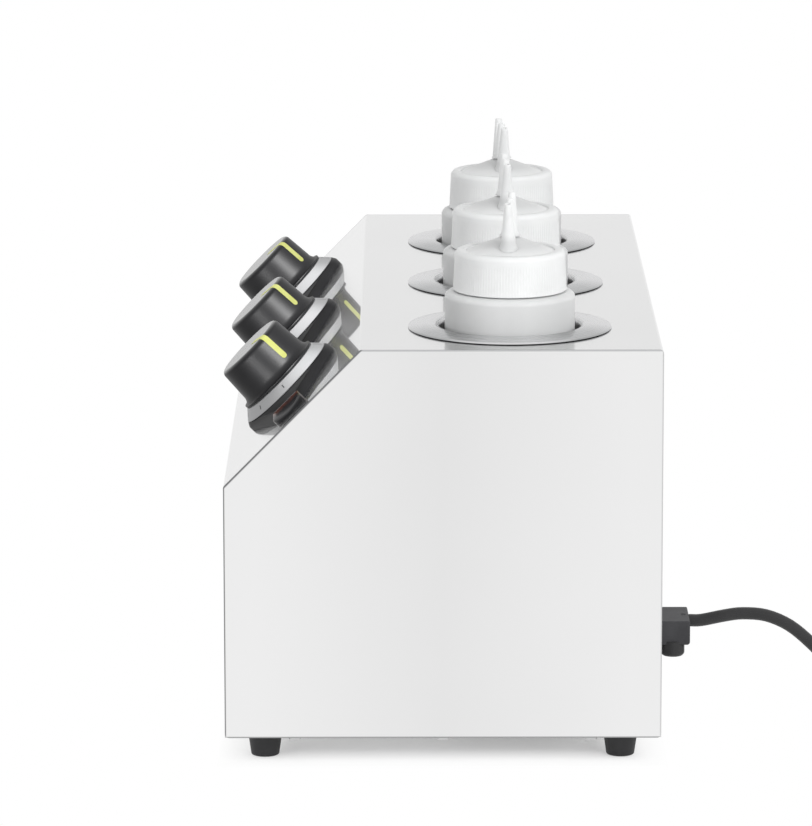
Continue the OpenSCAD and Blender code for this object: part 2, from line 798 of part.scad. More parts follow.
// Black knob with a groove for the pointer and a blind bore for the shaft
module knob(k) {
    color(black)
        at_dial(k)
            difference() {
                rotate_extrude($fn = 96)
                    polygon(knob_outline(0));
                difference() {
                    pointer_strip(k, pointer_w);
                    rotate_extrude($fn = 96)
                        polygon(knob_outline(-pointer_depth));
                }
                translate([0, 0, skirt_t - 1])
                    cylinder(r = shaft_r + run_gap, h = 1 + knob_h * 0.7 + lift_gap, $fn = 48);
            }
}

// Bright line inlaid in the knob's face and side
module pointer(k) {
    color(lime)
        at_dial(k)
            intersection() {
                pointer_strip(k, pointer_w - 0.02);
                difference() {
                    rotate_extrude($fn = 96)
                        polygon(knob_outline(pointer_proud));
                    rotate_extrude($fn = 96)
                        polygon(knob_outline(-pointer_depth + 0.02));
                }
            }
}

// Milky squeeze bottle with a wide neck
module bottle(k) {
    foot = 4;
    round_r = 5;
    in_r = bottle_r - bottle_wall;
    neck_in_r = neck_r - bottle_wall;
    top = bottle_h + shoulder_rise;
    color(milky)
        at_well(k)
            translate([0, 0, bottle_z])
                rotate_extrude($fn = 128)
                    polygon(concat(
                        [[0, 0], [bottle_r - foot, 0]],
                        quarter([bottle_r - foot, foot], foot, 270),
                        [for (i = [0 : 5]) shoulder_point(bottle_r, round_r, top, 18 * i)],
                        [[neck_r, top], [neck_r, top + neck_h], [neck_in_r, top + neck_h]],
                        [[neck_in_r, top - bottle_wall]],
                        [for (i = [5 : -1 : 0]) shoulder_point(in_r, round_r - 1, top - bottle_wall, 18 * i)],
                        [[in_r, foot], [in_r - foot / 2, bottle_wall + 0.4], [0, bottle_wall + 0.4]]
                    ));
}
// Point on the rounded shoulder of a bottle, a degrees up from its side
function shoulder_point(r, w, top, a) = [r - w + w * cos(a), top - shoulder_rise + shoulder_rise * sin(a)];

// Screw cap with a rounded rim, a cone in its top and three slim nozzles in a row
module cap(k) {
    rim_r = cap_r - cap_taper;
    rim_round = 3;
    in_r = neck_r + neck_gap;
    ceiling = neck_rim_z + lift_gap - cap_z;
    blunt_r = 3;
    color(cap_white)
        at_well(k)
            translate([0, 0, cap_z])
                rotate([0, 0, cap_turns[k - 1]])
                    difference() {
                        union() {
                            rotate_extrude($fn = 128)
                                polygon(concat(
                                    [[in_r, 0], [cap_r - 0.4, 0], [cap_r, 0.4]],
                                    [for (i = [0 : 5]) let (a = 18 * i)
                                        [rim_r - rim_round + rim_round * cos(a),
                                            cap_h - rim_round + rim_round * sin(a)]],
                                    [[cone_r + 0.4, cap_h], [cone_r, cone_z(cone_r)], [0, cone_z(0)]],
                                    [[0, cone_z(blunt_r) - cap_wall], [blunt_r, cone_z(blunt_r) - cap_wall]],
                                    [[cone_r - 1.5, cone_z(cone_r - 1.5) - cap_wall]],
                                    [[cone_r, ceiling], [in_r, ceiling]]
                                ));
                            for (side = [-1 : 1])
                                at_nozzle(side)
                                    nozzle(nozzle_length(side));
                        }
                        for (side = [-1 : 1])
                            at_nozzle(side)
                                translate([0, 0, -3 * cap_wall])
                                    cylinder(r = nozzle_bore_r, h = nozzle_length(side) + 4 * cap_wall, $fn = 24);
                    }
}
// Height of the cone's surface at radius r, over the cap's lower edge
function cone_z(r) = cap_h - cone_sink + (cone_h + cone_sink) * (1 - r / cone_r);
// The middle nozzle ends as high as the outer ones
function nozzle_length(side) = nozzle_len
    - (1 - abs(side)) * (nozzle_len * (1 - cos(nozzle_lean)) + cone_z(0) - cone_z(nozzle_pitch));

// Moves to a nozzle's foot on the cone, with z along the nozzle
module at_nozzle(side) {
    translate([side * nozzle_pitch, 0, cone_z(abs(side) * nozzle_pitch)])
        rotate([0, side * nozzle_lean, 0])
            children();
}

// Tapered nozzle with a flared foot that starts inside the cap's top
module nozzle(length) {
    flare_r = nozzle_foot_r + 1;
    flare_h = 3.5;
    sink = 0.6 * cap_wall;
    translate([0, 0, -sink])
        cylinder(r1 = nozzle_foot_r, r2 = nozzle_tip_r, h = length + sink, $fn = 48);
    translate([0, 0, -sink])
        cylinder(r1 = flare_r, r2 = nozzle_foot_r - 0.5, h = flare_h + sink, $fn = 48);
}

// Three-pole terminal block on the base plate
module terminal_block() {
    color(ceramic)
        difference() {
            translate([entry_x - block_size.x / 2, block_y, block_z])
                cube(block_size);
            for (i = [-1 : 1])
                translate([entry_x + i * block_size.x / 3.2, block_y + block_size.y / 2, block_z + 5])
                    cylinder(r = 3, h = block_size.z, $fn = 32);
        }
}

// Earth stud with its nut on the base plate
module earth_stud() {
    color(brass)
        translate([entry_x + block_size.x, block_y + 6, z_low + sheet]) {
            cylinder(r = 2.5, h = stud_h, $fn = 32);
            cylinder(r = 5, h = stud_h / 4, $fn = 6);
        }
}

// Leads from the terminal block to each thermostat, and from there to each heater
module wiring() {
    bend = wire_lead;
    color(wire_red)
        for (k = stations) {
            low_z = z_low + 1.5 * bend + 2 * wire_r * (2 - k);
            start = [entry_x + (2 - k) * block_size.x / 3.2, block_y, block_z + block_size.z / 2];
            tab = [dial_x(k) - thermostat_w / 4, slope_y, slope_z]
                + tube_rise(dial_up, -sheet - thermostat_d - bend);
            heater = [station_x(k) - well_r - well_wall - heater_t - 2.5 * wire_r - 1.25, well_y,
                floor_z + heater_lift + heater_h / 2];
            tube([
                start, start - [0, bend, 0], [start.x, block_y - 2.25 * bend, low_z],
                [tab.x, y_front + 7.5 * bend, low_z],
                [tab.x, y_front + 4.5 * bend, z_low + 3 * bend],
                [tab.x, y_front + 4 * bend, z_low + 5.75 * bend],
                [tab.x, tab.y - bend / 4, tab.z - 5 * bend], tab - [0, 0, bend], tab
            ], wire_r, 6);
            tube([
                tab + [thermostat_w / 2, 0, 0], tab + [thermostat_w / 2, 0.4 * bend, -1.25 * bend],
                [tab.x + thermostat_w / 2, tab.y + 0.75 * bend, tab.z - 4.25 * bend],
                [heater.x + bend / 2, well_y - 6.5 * bend, heater.z + 2 * bend],
                [heater.x - 1.1 * bend, well_y - 4.25 * bend, heater.z + bend / 2],
                [heater.x - 1.25 * bend, well_y - 2.25 * bend, heater.z],
                heater - [0.45 * bend, bend, 0]
            ], wire_r, 6);
        }
}

// Moulded block that grips the cord behind the rear panel
module cord_entry() {
    top = entry_z + cord_r + 3;
    edge = 2.5;
    color(black)
        difference() {
            union() {
                translate([entry_x - entry_w / 2, y_back, 0])
                    rotate([90, 0, 90])
                        linear_extrude(entry_w)
                            polygon(concat(
                                [[0, top - entry_h], [0, top], [entry_d - 0.6, top], [entry_d, top - 0.6]],
                                [for (i = [0 : 5]) let (a = -18 * i)
                                    [entry_d - edge + edge * cos(a), top - entry_h + edge + edge * sin(a)]]
                            ));
                translate([entry_x, y_back, entry_z])
                    rotate([90, 0, 0])
                        cylinder(r = cord_r + 1.8, h = 2 * sheet, $fn = 48);
            }
            translate([entry_x, y_back + entry_d - 6, entry_z])
                rotate([90, 0, 0])
                    cylinder(r = cord_r - 1, h = entry_d, $fn = 48);
        }
}

// Round cap of the clamping screw, under the entry block
module clamp_cap() {
    low = entry_z + cord_r + 3 - entry_h - clamp_h;
    color(rubber)
        translate([entry_x + entry_w / 2 - clamp_r - 1.5, y_back + entry_d - clamp_r - 1.6, low])
            rotate_extrude($fn = 64)
                polygon([
                    [0, 0], [clamp_r - 1.5, 0], [clamp_r, 1.8], [clamp_r, clamp_h], [0, clamp_h]
                ]);
}

// Free stretch of the cord, from the block down to the table behind the warmer
module cord_lead() {
    color(rubber)
        tube(lead_points, cord_r, lead_sides);
}

// The rest of the cord, wound in a neat round coil on the table
module cord_coil() {
    color(rubber)
        tube(coil_points, cord_r, coil_sides);
}

// Moulded mains plug of the round two-pin kind with earth clips, lying on its side
module at_plug() {
    translate([plug_start_x, plug_y, plug_face_r])
        rotate([0, -90, 0])
            rotate([0, 0, plug_roll])
                children();
}
module plug_body() {
    relief_r = 5.6;
    color(rubber)
        at_plug()
            difference() {
                rotate_extrude($fn = 96)
                    polygon(concat(
                        [[0, 0], [relief_r - 0.6, 0], [relief_r, 0.6], [relief_r + 1.4, 14]],
                        [for (i = [0 : 6]) let (a = 15 * i)
                            [relief_r + 1.4 + (plug_face_r - relief_r - 1.4) * sin(a), 14 + 14 * (1 - cos(a))]],
                        [[plug_face_r, plug_len - 1], [plug_face_r - 1, plug_len], [0, plug_len]]
                    ));
                for (side = [-1, 1]) {
                    translate([side * (plug_face_r + 0.5) - 2.5, -4.2, plug_len - 14])
                        cube([5, 8.4, 15]);
                    translate([0, side * pin_pitch / 2, plug_len - 6])
                        cylinder(r = pin_r + seat_gap, h = 7, $fn = 32);
                }
                translate([10, 0, plug_len - 8])
                    cylinder(r = 2.6, h = 9, $fn = 32);
            }
}

// Two round pins and the two earth clips in the plug's sides
module plug_contacts() {
    clip_t = 1;
    color(steel)
        at_plug() {
            for (side = [-1, 1]) {
                translate([0, side * pin_pitch / 2, plug_len - 6]) {
                    cylinder(r = pin_r, h = 6 + pin_len - 1.5, $fn = 32);
                    translate([0, 0, 6 + pin_len - 1.5])
                        cylinder(r1 = pin_r, r2 = pin_r - 1.2, h = 1.5, $fn = 32);
                }
                translate([side * (plug_face_r - 1.5) - clip_t / 2, -3.6, plug_len - 13.9])
                    cube([clip_t, 7.2, 13]);
            }
        }
}

housing_wrap();
side_panel(1);  // side_panel_right
side_panel(-1);  // side_panel_left
rear_panel();
base_plate();
base_screws();
rear_screws();
feet();
foot_screws();
for (k = stations) {
    well(k);
    band_heater(k);
    thermostat(k);
    capillary(k);
    bezel(k);
    lamp_lens(k);
    scale_ring(k);
    shaft(k);
    knob(k);
    pointer(k);
    bottle(k);
    cap(k);
}
thermostat_screws();
indicator_lamps();
terminal_block();
earth_stud();
wiring();
cord_entry();
clamp_cap();
cord_lead();
cord_coil();
plug_body();
plug_contacts();
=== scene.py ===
import json
import math

import bmesh
import bpy
import numpy as np
from mathutils import Matrix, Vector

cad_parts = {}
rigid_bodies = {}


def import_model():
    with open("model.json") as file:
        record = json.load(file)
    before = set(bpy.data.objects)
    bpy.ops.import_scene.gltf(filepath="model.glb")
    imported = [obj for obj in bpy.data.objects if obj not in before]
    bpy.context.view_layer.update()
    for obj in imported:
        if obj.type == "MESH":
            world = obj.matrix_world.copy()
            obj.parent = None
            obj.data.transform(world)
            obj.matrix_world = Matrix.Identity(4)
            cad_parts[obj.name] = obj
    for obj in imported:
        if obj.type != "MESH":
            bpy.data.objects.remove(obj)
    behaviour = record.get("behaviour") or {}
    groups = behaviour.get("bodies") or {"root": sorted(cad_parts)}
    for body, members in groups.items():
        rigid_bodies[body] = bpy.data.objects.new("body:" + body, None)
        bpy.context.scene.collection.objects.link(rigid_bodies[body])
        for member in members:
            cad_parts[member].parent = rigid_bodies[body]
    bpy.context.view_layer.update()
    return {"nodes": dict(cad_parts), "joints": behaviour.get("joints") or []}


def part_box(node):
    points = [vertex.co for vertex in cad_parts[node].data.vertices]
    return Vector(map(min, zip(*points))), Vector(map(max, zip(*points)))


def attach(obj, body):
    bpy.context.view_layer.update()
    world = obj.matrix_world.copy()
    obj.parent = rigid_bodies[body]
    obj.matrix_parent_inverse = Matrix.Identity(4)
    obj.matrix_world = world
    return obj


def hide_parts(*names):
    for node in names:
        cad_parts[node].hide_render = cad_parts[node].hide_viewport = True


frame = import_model()

# Camera. It stands three metres off the right-hand end with a long lens, a little above the
# top plate, so the three stations lie one behind the other and the front is at the left.
panel_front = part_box("side_panel_right")[0][1]
camera_place = (3.1237, panel_front + 0.09994, 0.7686)
camera_pitch = 0.19610
camera_yaw = 0.00088
camera_roll = -0.00138
camera_lens = 243.04
camera_clip_end = 100


def unit(vectors):
    """Each vector divided by its own length."""
    return vectors / np.linalg.norm(vectors, axis=-1, keepdims=True)


def turned_to(place, side, up, back):
    """The matrix of an object at a place, from the directions of its own three axes."""
    return Matrix.Translation(place) @ Matrix(np.stack([side, up, back], axis=1).tolist()).to_4x4()


forward = -np.array([
    math.cos(camera_yaw) * math.cos(camera_pitch),
    math.sin(camera_yaw) * math.cos(camera_pitch),
    math.sin(camera_pitch),
])
level_right = unit(np.cross(forward, (0, 0, 1)))
level_up = np.cross(level_right, forward)
right = math.cos(camera_roll) * level_right + math.sin(camera_roll) * level_up
camera = bpy.data.objects.new("camera", bpy.data.cameras.new("camera"))
camera.data.lens = camera_lens
camera.data.clip_end = camera_clip_end
camera.matrix_world = turned_to(camera_place, right, np.cross(right, forward), -forward)
bpy.context.collection.objects.link(camera)
bpy.context.scene.camera = camera

# Housing. One sheet of bright stainless steel is folded into the front, the sloped face and the
# top. A flat steel panel with a folded edge is set into each end, with a thin seam round it.
noise_core = (0.3, 0.7)  # nearly all of a noise's values lie between these


class Wire:
    """The output of a material's node. Arithmetic on it adds Math nodes, `node` any other node."""

    def __init__(self, output):
        self.output = output

    def node(self, kind, settings, inputs, out=0):
        """Adds a node: its settings first, then a value or a wire for each of its sockets."""
        added = self.output.id_data.nodes.new(kind)
        for name, value in settings.items():
            setattr(added, name, value)
        feed(added, inputs)
        return Wire(added.outputs[out])

    def maths(self, operation, *values):
        """A Math node on these values."""
        return self.node("ShaderNodeMath", {"operation": operation}, dict(enumerate(values)))

    def __add__(self, other):
        return self.maths("ADD", self, other)

    def __radd__(self, other):
        return self.maths("ADD", other, self)

    def __sub__(self, other):
        return self.maths("SUBTRACT", self, other)

    def __rsub__(self, other):
        return self.maths("SUBTRACT", other, self)

    def __mul__(self, other):
        return self.maths("MULTIPLY", self, other)

    def __rmul__(self, other):
        return self.maths("MULTIPLY", other, self)

    def __truediv__(self, other):
        return self.maths("DIVIDE", self, other)

    def __rtruediv__(self, other):
        return self.maths("DIVIDE", other, self)

    def __abs__(self):
        return self.maths("ABSOLUTE", self)

    def larger(self, other):
        """The greater of two values."""
        return self.maths("MAXIMUM", self, other)

    def wrapped(self, high, low):
        """The value brought between low and high by whole steps of the distance between them."""
        return self.maths("WRAP", self, high, low)

    def part(self, axis):
        """One of a vector's three numbers."""
        return self.node("ShaderNodeSeparateXYZ", {}, {0: self}, "XYZ".index(axis))

    def along(self, direction):
        """How far the coordinates reach in a direction: their dot product with it."""
        vectors = {0: self, 1: tuple(direction)}
        return self.node("ShaderNodeVectorMath", {"operation": "DOT_PRODUCT"}, vectors, "Value")

    def stretched(self, scale):
        """The coordinates multiplied along each axis."""
        return self.node("ShaderNodeMapping", {}, {"Vector": self, "Scale": scale})

    def noise(self, scale, detail, rough=0.5):
        """Soft noise between 0 and 1 with `scale` grains to the metre."""
        return self.node("ShaderNodeTexNoise", {}, {
            "Vector": self, "Scale": scale, "Detail": detail, "Roughness": rough}, "Fac")

    def spread(self, low, high, to_low=0.0, to_high=1.0):
        """The range from low to high laid over another range, and held at its ends."""
        return self.node("ShaderNodeMapRange", {"clamp": True}, {
            "Value": self, "From Min": low, "From Max": high, "To Min": to_low, "To Max": to_high})

    def between(self, colour, other):
        """A mix of two colours by this factor."""
        return self.node("ShaderNodeMix", {"data_type": "RGBA"}, {0: self, 6: colour, 7: other}, 2)

    def clouds(self, scale, detail, colour, other):
        """Two near colours that pass into each other with the noise."""
        return self.noise(scale, detail).spread(*noise_core).between(colour, other)

    def waver(self, scale, detail, low, high):
        """A number that wanders between low and high with the noise."""
        return self.noise(scale, detail).spread(*noise_core, low, high)

    def bump(self, height):
        """A normal for a soft relief of this height in metres."""
        return self.node("ShaderNodeBump", {}, {
            "Height": self, "Distance": height, "Strength": 0.5})


def feed(node, inputs):
    """Sets or links a node's sockets."""
    for name, value in inputs.items():
        if isinstance(value, Wire):
            node.id_data.links.new(value.output, node.inputs[name])
        else:
            node.inputs[name].default_value = value


def shade(red, green, blue):
    """A colour as a picture gives it, 0 to 255, as the shader takes it."""
    part = np.array([red, green, blue]) / 255
    linear = np.where(part > 0.04045, ((part + 0.055) / 1.055) ** 2.4, part / 12.92)
    return (*linear.tolist(), 1.0)


def material(name, inputs):
    """A material with its shader's own sockets set, the shader, and the Object coordinates."""
    made = bpy.data.materials.new(name)
    made.use_nodes = True
    shader = made.node_tree.nodes["Principled BSDF"]
    feed(shader, inputs)
    return made, shader, Wire(shader.outputs[0]).node("ShaderNodeTexCoord", {}, {}, "Object")


def rolling_marks(place, roughness):
    """A roughness with the faint streaks that a rolling mill leaves along the sheet."""
    streaks = place.stretched((3, 60, 3)).noise(12, 4, 0.6)
    return streaks.spread(*noise_core, roughness - 0.01, roughness + 0.01)


def steel(name, tone, roughness, spread=4, own=()):
    """Rolled stainless steel: faint clouds in its colour, and faint streaks in its roughness."""
    made, shader, place = material(name, {"Metallic": 1.0, **dict(own)})
    dark, light = (shade(*(3 * [v])) for v in (tone - spread, tone + spread))
    feed(shader, {
        "Base Color": place.clouds(9, 2, dark, light),
        "Roughness": rolling_marks(place, roughness),
    })
    return made


def dress(finish, *names):
    """Gives CAD nodes a material in all their slots."""
    for name in names:
        node = frame["nodes"][name]
        node.data.materials.clear()
        node.data.materials.append(finish)


def faces_of(rows, columns):
    """Four corners of each face of a grid, numbered row by row; the last column meets the first."""
    row = columns * np.arange(rows - 1)[:, None]
    column = np.arange(columns)[None, :]
    next_row, next_column = row + columns, (column + 1) % columns
    corners = [row + column, row + next_column, next_row + next_column, next_row + column]
    return np.stack(corners, axis=-1).reshape(-1, 4)


weld_reach = 1e-6
least_edge = 1e-7
sharp_angle = math.radians(50)


def piece(name, skins, finish, body, stands_for=()):
    """One solid from grids of points in millimetres, its equal points merged and its faces
    turned outwards. It rides on a body and may stand for CAD nodes."""
    points, faces, count = [], [], 0
    for skin in skins:
        rows, columns = skin.shape[:2]
        points.append(skin.reshape(-1, 3) / 1000)
        faces.append(faces_of(rows, columns) + count)
        count += rows * columns
    mesh = bpy.data.meshes.new(name)
    mesh.from_pydata(np.concatenate(points).tolist(), [], np.concatenate(faces).tolist())
    cleaned = bmesh.new()
    cleaned.from_mesh(mesh)
    bmesh.ops.remove_doubles(cleaned, verts=cleaned.verts, dist=weld_reach)
    bmesh.ops.dissolve_degenerate(cleaned, edges=cleaned.edges, dist=least_edge)
    bmesh.ops.recalc_face_normals(cleaned, faces=cleaned.faces)
    cleaned.to_mesh(mesh)
    cleaned.free()
    mesh.shade_smooth()
    mesh.set_sharp_from_angle(angle=sharp_angle)
    mesh.materials.append(finish)
    made = bpy.data.objects.new(name, mesh)
    bpy.context.collection.objects.link(made)
    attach(made, body)
    if stands_for:
        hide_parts(*stands_for)
    return made


def lofted(rings, reach, steps=4):
    """Rings joined in order. Where reach isn't 0, an inner ring's corner becomes a quadratic
    curve that starts that far before the ring and ends that far after it, and a row is added
    just outside each end so that the flats stay flat."""
    rows = [rings[0][None]]
    t = np.linspace(0, 1, steps + 1)[:, None, None]
    for before, corner, after, soft in zip(rings, rings[1:], rings[2:], reach):
        if soft == 0:
            rows.append(corner[None])
            continue
        back, on = soft * unit(before - corner), soft * unit(after - corner)
        curve = (1 - t) ** 2 * (corner + back) + 2 * t * (1 - t) * corner + t ** 2 * (corner + on)
        rows.extend([(corner + 1.2 * back)[None], curve, (corner + 1.2 * on)[None]])
    rows.append(rings[-1][None])
    return np.concatenate(rows)


def box_mm(node):
    """A CAD node's lowest and highest corners in millimetres."""
    return 1000 * np.array(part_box(node))


wrap_steel = steel("wrap_steel", 184, 0.24, 2, {
    "Coat Weight": 1.0, "Coat Roughness": 0.02, "Coat IOR": 1.8})
dress(wrap_steel, "housing_wrap")

slope_run = 73.0
slope_rise = 74.0
sheet = 1.2
fold_r = 2.2
least_fold_r = 0.2
corner_points = 7
panel_flange = 12
flange_inset = sheet + 0.1
face_row = 8  # a row so far in from the edge keeps the flat face flat
back_row = 20
panel_middle = np.array([0, 30, 110])
panel_box = {side: box_mm(f"side_panel_{side}") for side in ("right", "left")}
(_, y_front, z_low), (_, y_back, z_top) = panel_box["right"]
z_fold = z_top - slope_rise
y_fold = y_front + slope_run
panel_corners = np.array([
    (y_front, z_low), (y_front, z_fold), (y_fold, z_top), (y_back, z_top), (y_back, z_low)])

# The end panels' finish. A painted sheen makes them brighter away from their middle, and a thin
# line of painted shade runs along each edge, where the sheet turns inwards, for the shade in the
# seam round the panel; it is darkest along the slope. Distances from the edges are in metres.
thin_shade_line = (0.0009, 0.0004)
wide_shade_line = (0.0011, 0.0005)
seam_shade_share = 0.9
rear_shade_share = 0.4
low_shade_share = 0.8
slope_angle = math.atan2(slope_rise, slope_run)
panel_steel, panel_shader, panel_place = material("panel_steel", {"Metallic": 1.0})
panel_y, panel_z = panel_place.part("Y"), panel_place.part("Z")
from_front = panel_y - y_front / 1000
from_fold = panel_z - z_fold / 1000
from_slope = from_front * math.sin(slope_angle) - from_fold * math.cos(slope_angle)
# Painted shade: darker lines along the front, rear and low edges, for the shade in the seam.
front_seam_shade = from_front.spread(*thin_shade_line)
rear_seam_shade = (y_back / 1000 - panel_y).spread(*thin_shade_line) * rear_shade_share
low_seam_shade = (panel_z - z_low / 1000).spread(*wide_shade_line) * low_shade_share
painted_seam_shade = front_seam_shade.larger(rear_seam_shade.larger(low_seam_shade)) * seam_shade_share
# Painted sheen: lighter away from the panel's middle, mixed with faint random clouds.
painted_sheen_and_clouds = abs(panel_y).spread(0.0, 0.1) * 0.7 + panel_place.noise(9, 2) * 0.3
tone = painted_sheen_and_clouds.between(shade(229, 229, 229), shade(241, 241, 241))
# Painted shade: a grey line along the top edge and a darker one along the slope, for the seam.
tone = (z_top / 1000 - panel_z).spread(*thin_shade_line).between(tone, shade(196, 197, 198))
tone = painted_seam_shade.between(tone, shade(100, 101, 102))
feed(panel_shader, {
    "Base Color": from_slope.spread(*wide_shade_line).between(tone, shade(120, 121, 122)),
    "Roughness": rolling_marks(panel_place, 0.36),
})


def panel_ring(x, inset):
    """Outline of the housing from the end, drawn in by an inset. Each corner is an arc that
    touches both of its sides, swung from one to the other about the point between them."""
    arcs = []
    sides = zip(np.roll(panel_corners, 1, 0), panel_corners, np.roll(panel_corners, -1, 0))
    for before, corner, after in sides:
        back, on = unit(before - corner), unit(after - corner)
        inward = unit(back + on)
        onward = np.array([-inward[1], inward[0]])
        half = math.acos(float(back @ on)) / 2
        r = max(fold_r - inset, least_fold_r)
        middle = corner + inward * (inset + r) / math.sin(half)
        swing = np.linspace(half - math.pi / 2, math.pi / 2 - half, corner_points)[:, None]
        arcs.append(middle - r * np.cos(swing) * inward + r * np.sin(swing) * onward)
    ring = np.concatenate(arcs)
    return np.c_[np.full(len(ring), x), ring]


def panel_skin(x_out, inward):
    """A flat panel with soft outer edges and a flange turned in behind them, as rings that each
    lie so deep behind the outer face and so far in from the outline."""
    back = sheet + panel_flange
    spots = [(0, face_row), (0, 0), (sheet, 0), (sheet, flange_inset), (back, flange_inset),
             (back, flange_inset + sheet), (sheet, flange_inset + sheet), (sheet, back_row)]
    rings = [panel_ring(x_out + inward * depth, inset) for depth, inset in spots]
    return lofted(rings, (0.7, 0.3, 0, 0, 0, 0))


panel_faces = {"right": (panel_box["right"][1][0], -1), "left": (panel_box["left"][0][0], 1)}
for side, (x_out, inward) in panel_faces.items():
    skin = panel_skin(x_out, inward)
    caps = [np.stack([row, row * (1, 0, 0) + panel_middle]) for row in (skin[0], skin[-1])]
    piece(f"end_panel_{side}", [skin, *caps], panel_steel, "root",
          [f"side_panel_{side}"])

# Plates and screws. Flat steel plates close the back and the base. Small steel screws hold them,
# and the ones in the rear plate's edges have very low heads with a round socket.
rear_steel = steel("rear_steel", 216, 0.34)
base_steel = steel("base_steel", 236, 0.36)
screw_steel = steel("screw_steel", 200, 0.3)
dress(rear_steel, "rear_panel")
dress(base_steel, "base_plate")
dress(screw_steel, "base_screws")


def circle(sides):
    """Points round a circle of radius 1 in the plane z = 0."""
    a = np.linspace(0, 2 * math.pi, sides, endpoint=False)
    return np.stack([np.cos(a), np.sin(a), 0 * a], axis=-1)


def turned(profile, reach=None, sides=96):
    """A profile of radius and height turned about the z axis; reach softens its inner corners."""
    profile = np.array(profile, float)
    rings = profile[:, :1, None] * circle(sides) + profile[:, 1:, None] * np.array([0, 0, 1.0])
    return lofted(rings, reach) if reach else rings


screws_low, screws_high = box_mm("rear_screws")
head_r = 2 * (screws_high[1] - y_back)
head_rise = 0.5
head_base = -1
socket_r = 0.36 * head_r
socket_floor = -0.4
screw_spots = np.array([-0.46, -0.16, 0.16, 0.46])
head_skin = turned([
    (0, head_base), (head_r, head_base), (head_r, 0.1), (0.7 * head_r, head_rise - 0.05),
    (socket_r, head_rise), (socket_r, socket_floor), (0, socket_floor)], (0, 0.1, 0.6, 0.2, 0), 48)
head_skin = head_skin[..., [0, 2, 1]]  # laid over, so that it faces backwards
screw_xs = screw_spots / screw_spots[-1] * (screws_high[0] - head_r)
screw_zs = (screws_low[2] + head_r, screws_high[2] - head_r)
heads = [head_skin + (x, y_back, z) for z in screw_zs for x in screw_xs]
piece("rear_screw_heads", heads, screw_steel, "root", ["rear_screws"])

# Feet. Four tapered feet of black rubber, a little narrower below. Each is held up against the
# base plate by a steel screw, whose head sits deep in a recess in the foot's underside.


def moulded(name, dark, light, roughness, grain_mm=0.25, own=()):
    """Moulded plastic or rubber: two near colours in soft clouds, and a fine spark-eroded grain."""
    made, shader, place = material(name, {"Roughness": roughness, **dict(own)})
    grain = place.noise(1000 / grain_mm, 2)
    feed(shader, {
        "Base Color": place.clouds(60, 4, dark, light),
        "Roughness": grain.spread(*noise_core, roughness - 0.05, roughness + 0.07),
        "Normal": grain.bump(0.00001),
    })
    return made


rubber = moulded("foot_rubber", shade(30, 30, 31), shade(40, 40, 42), 0.6)
foot_low_r = 7.5
foot_top_r = 9.5
foot_h = z_low
foot_lip = 1.2
foot_inset = 8.5
recess_r = 4.2
recess_h = 6
foot_low, foot_high = box_mm("feet")
foot_skin = turned([
    (0, recess_h), (recess_r, recess_h), (recess_r, 0), (foot_low_r, 0),
    (foot_top_r, foot_h - foot_lip), (foot_top_r, foot_h), (0, foot_h)],
    (0, 0.3, 0.9, 0.6, 0.4), 64)
for i, x in enumerate((foot_low[0] + foot_inset, foot_high[0] - foot_inset)):
    for j, y in enumerate((foot_low[1] + foot_inset, foot_high[1] - foot_inset)):
        stands_for = ["feet"] if (i, j) == (0, 0) else ()
        piece(f"foot_{2 * i + j + 1}", [foot_skin + (x, y, 0)], rubber, "root",
              stands_for)
dress(screw_steel, "foot_screws")

# Wells. Each is a can drawn in thin steel with a wide domed flange, turned bright on a lathe,
# that hangs in the top plate. A band heater is clamped round it below.
stations = (1, 2, 3)
station = {k: box_mm(f"bottle_{k}").mean(axis=0)[:2] for k in stations}
station_pitch = (station[1][0] - station[2][0]) / 1000
well_r = 38.0
well_wall = 0.8
well_depth = 178.0
can_corner_r = 5.0
bore_corner_r = 4.2
flange_r = 55.0
flange_rise = 2.2
flange_lift = 0.3
rim_rise = 1.0

# The lathe leaves fine rings about each well's axis, as a fine grain in the tone and roughness.
# Such steel shines in a bow tie, and that shine is painted into the colour by the direction from
# the axis, of which `facing` is the share towards the right-hand end: painted shade on the half
# towards that end and a painted highlight where it faces straight at it.
painted_shade_way = (0.05, 0.5)
painted_highlight_way = (0.76, 0.97)
turned_steel, steel_shader, steel_place = material("turned_steel", {"Metallic": 1.0})
well_x = steel_place.part("X") - station[1][0] / 1000
well_x = well_x.wrapped(station_pitch / 2, -station_pitch / 2)
well_y = steel_place.part("Y") - station[1][1] / 1000
from_axis = steel_place.maths("SQRT", well_x * well_x + well_y * well_y)
lathe_lines = from_axis.node("ShaderNodeCombineXYZ", {}, {0: from_axis}).noise(700, 2)
facing = well_x / from_axis
lathe_tone_and_painted_shine = lathe_lines.spread(*noise_core).between(shade(196, 196, 197), shade(206, 206, 207))
# Painted shade towards the right-hand end, then a painted highlight where the crown faces it.
lathe_tone_and_painted_shine = (facing.spread(*painted_shade_way) * 0.9).between(lathe_tone_and_painted_shine, shade(162, 163, 164))
feed(steel_shader, {
    "Base Color": facing.spread(*painted_highlight_way).between(lathe_tone_and_painted_shine, shade(214, 214, 215)),
    "Roughness": lathe_lines.spread(*noise_core, 0.24, 0.3),
})


def arc(centre, radius, start, stop, steps=6):
    """Points on an ellipse or circle from one angle to another, in degrees."""
    a = np.radians(np.linspace(start, stop, steps + 1))
    points = np.array(centre) + np.array(radius) * np.stack([np.cos(a), np.sin(a)], -1)
    return [tuple(p) for p in points]


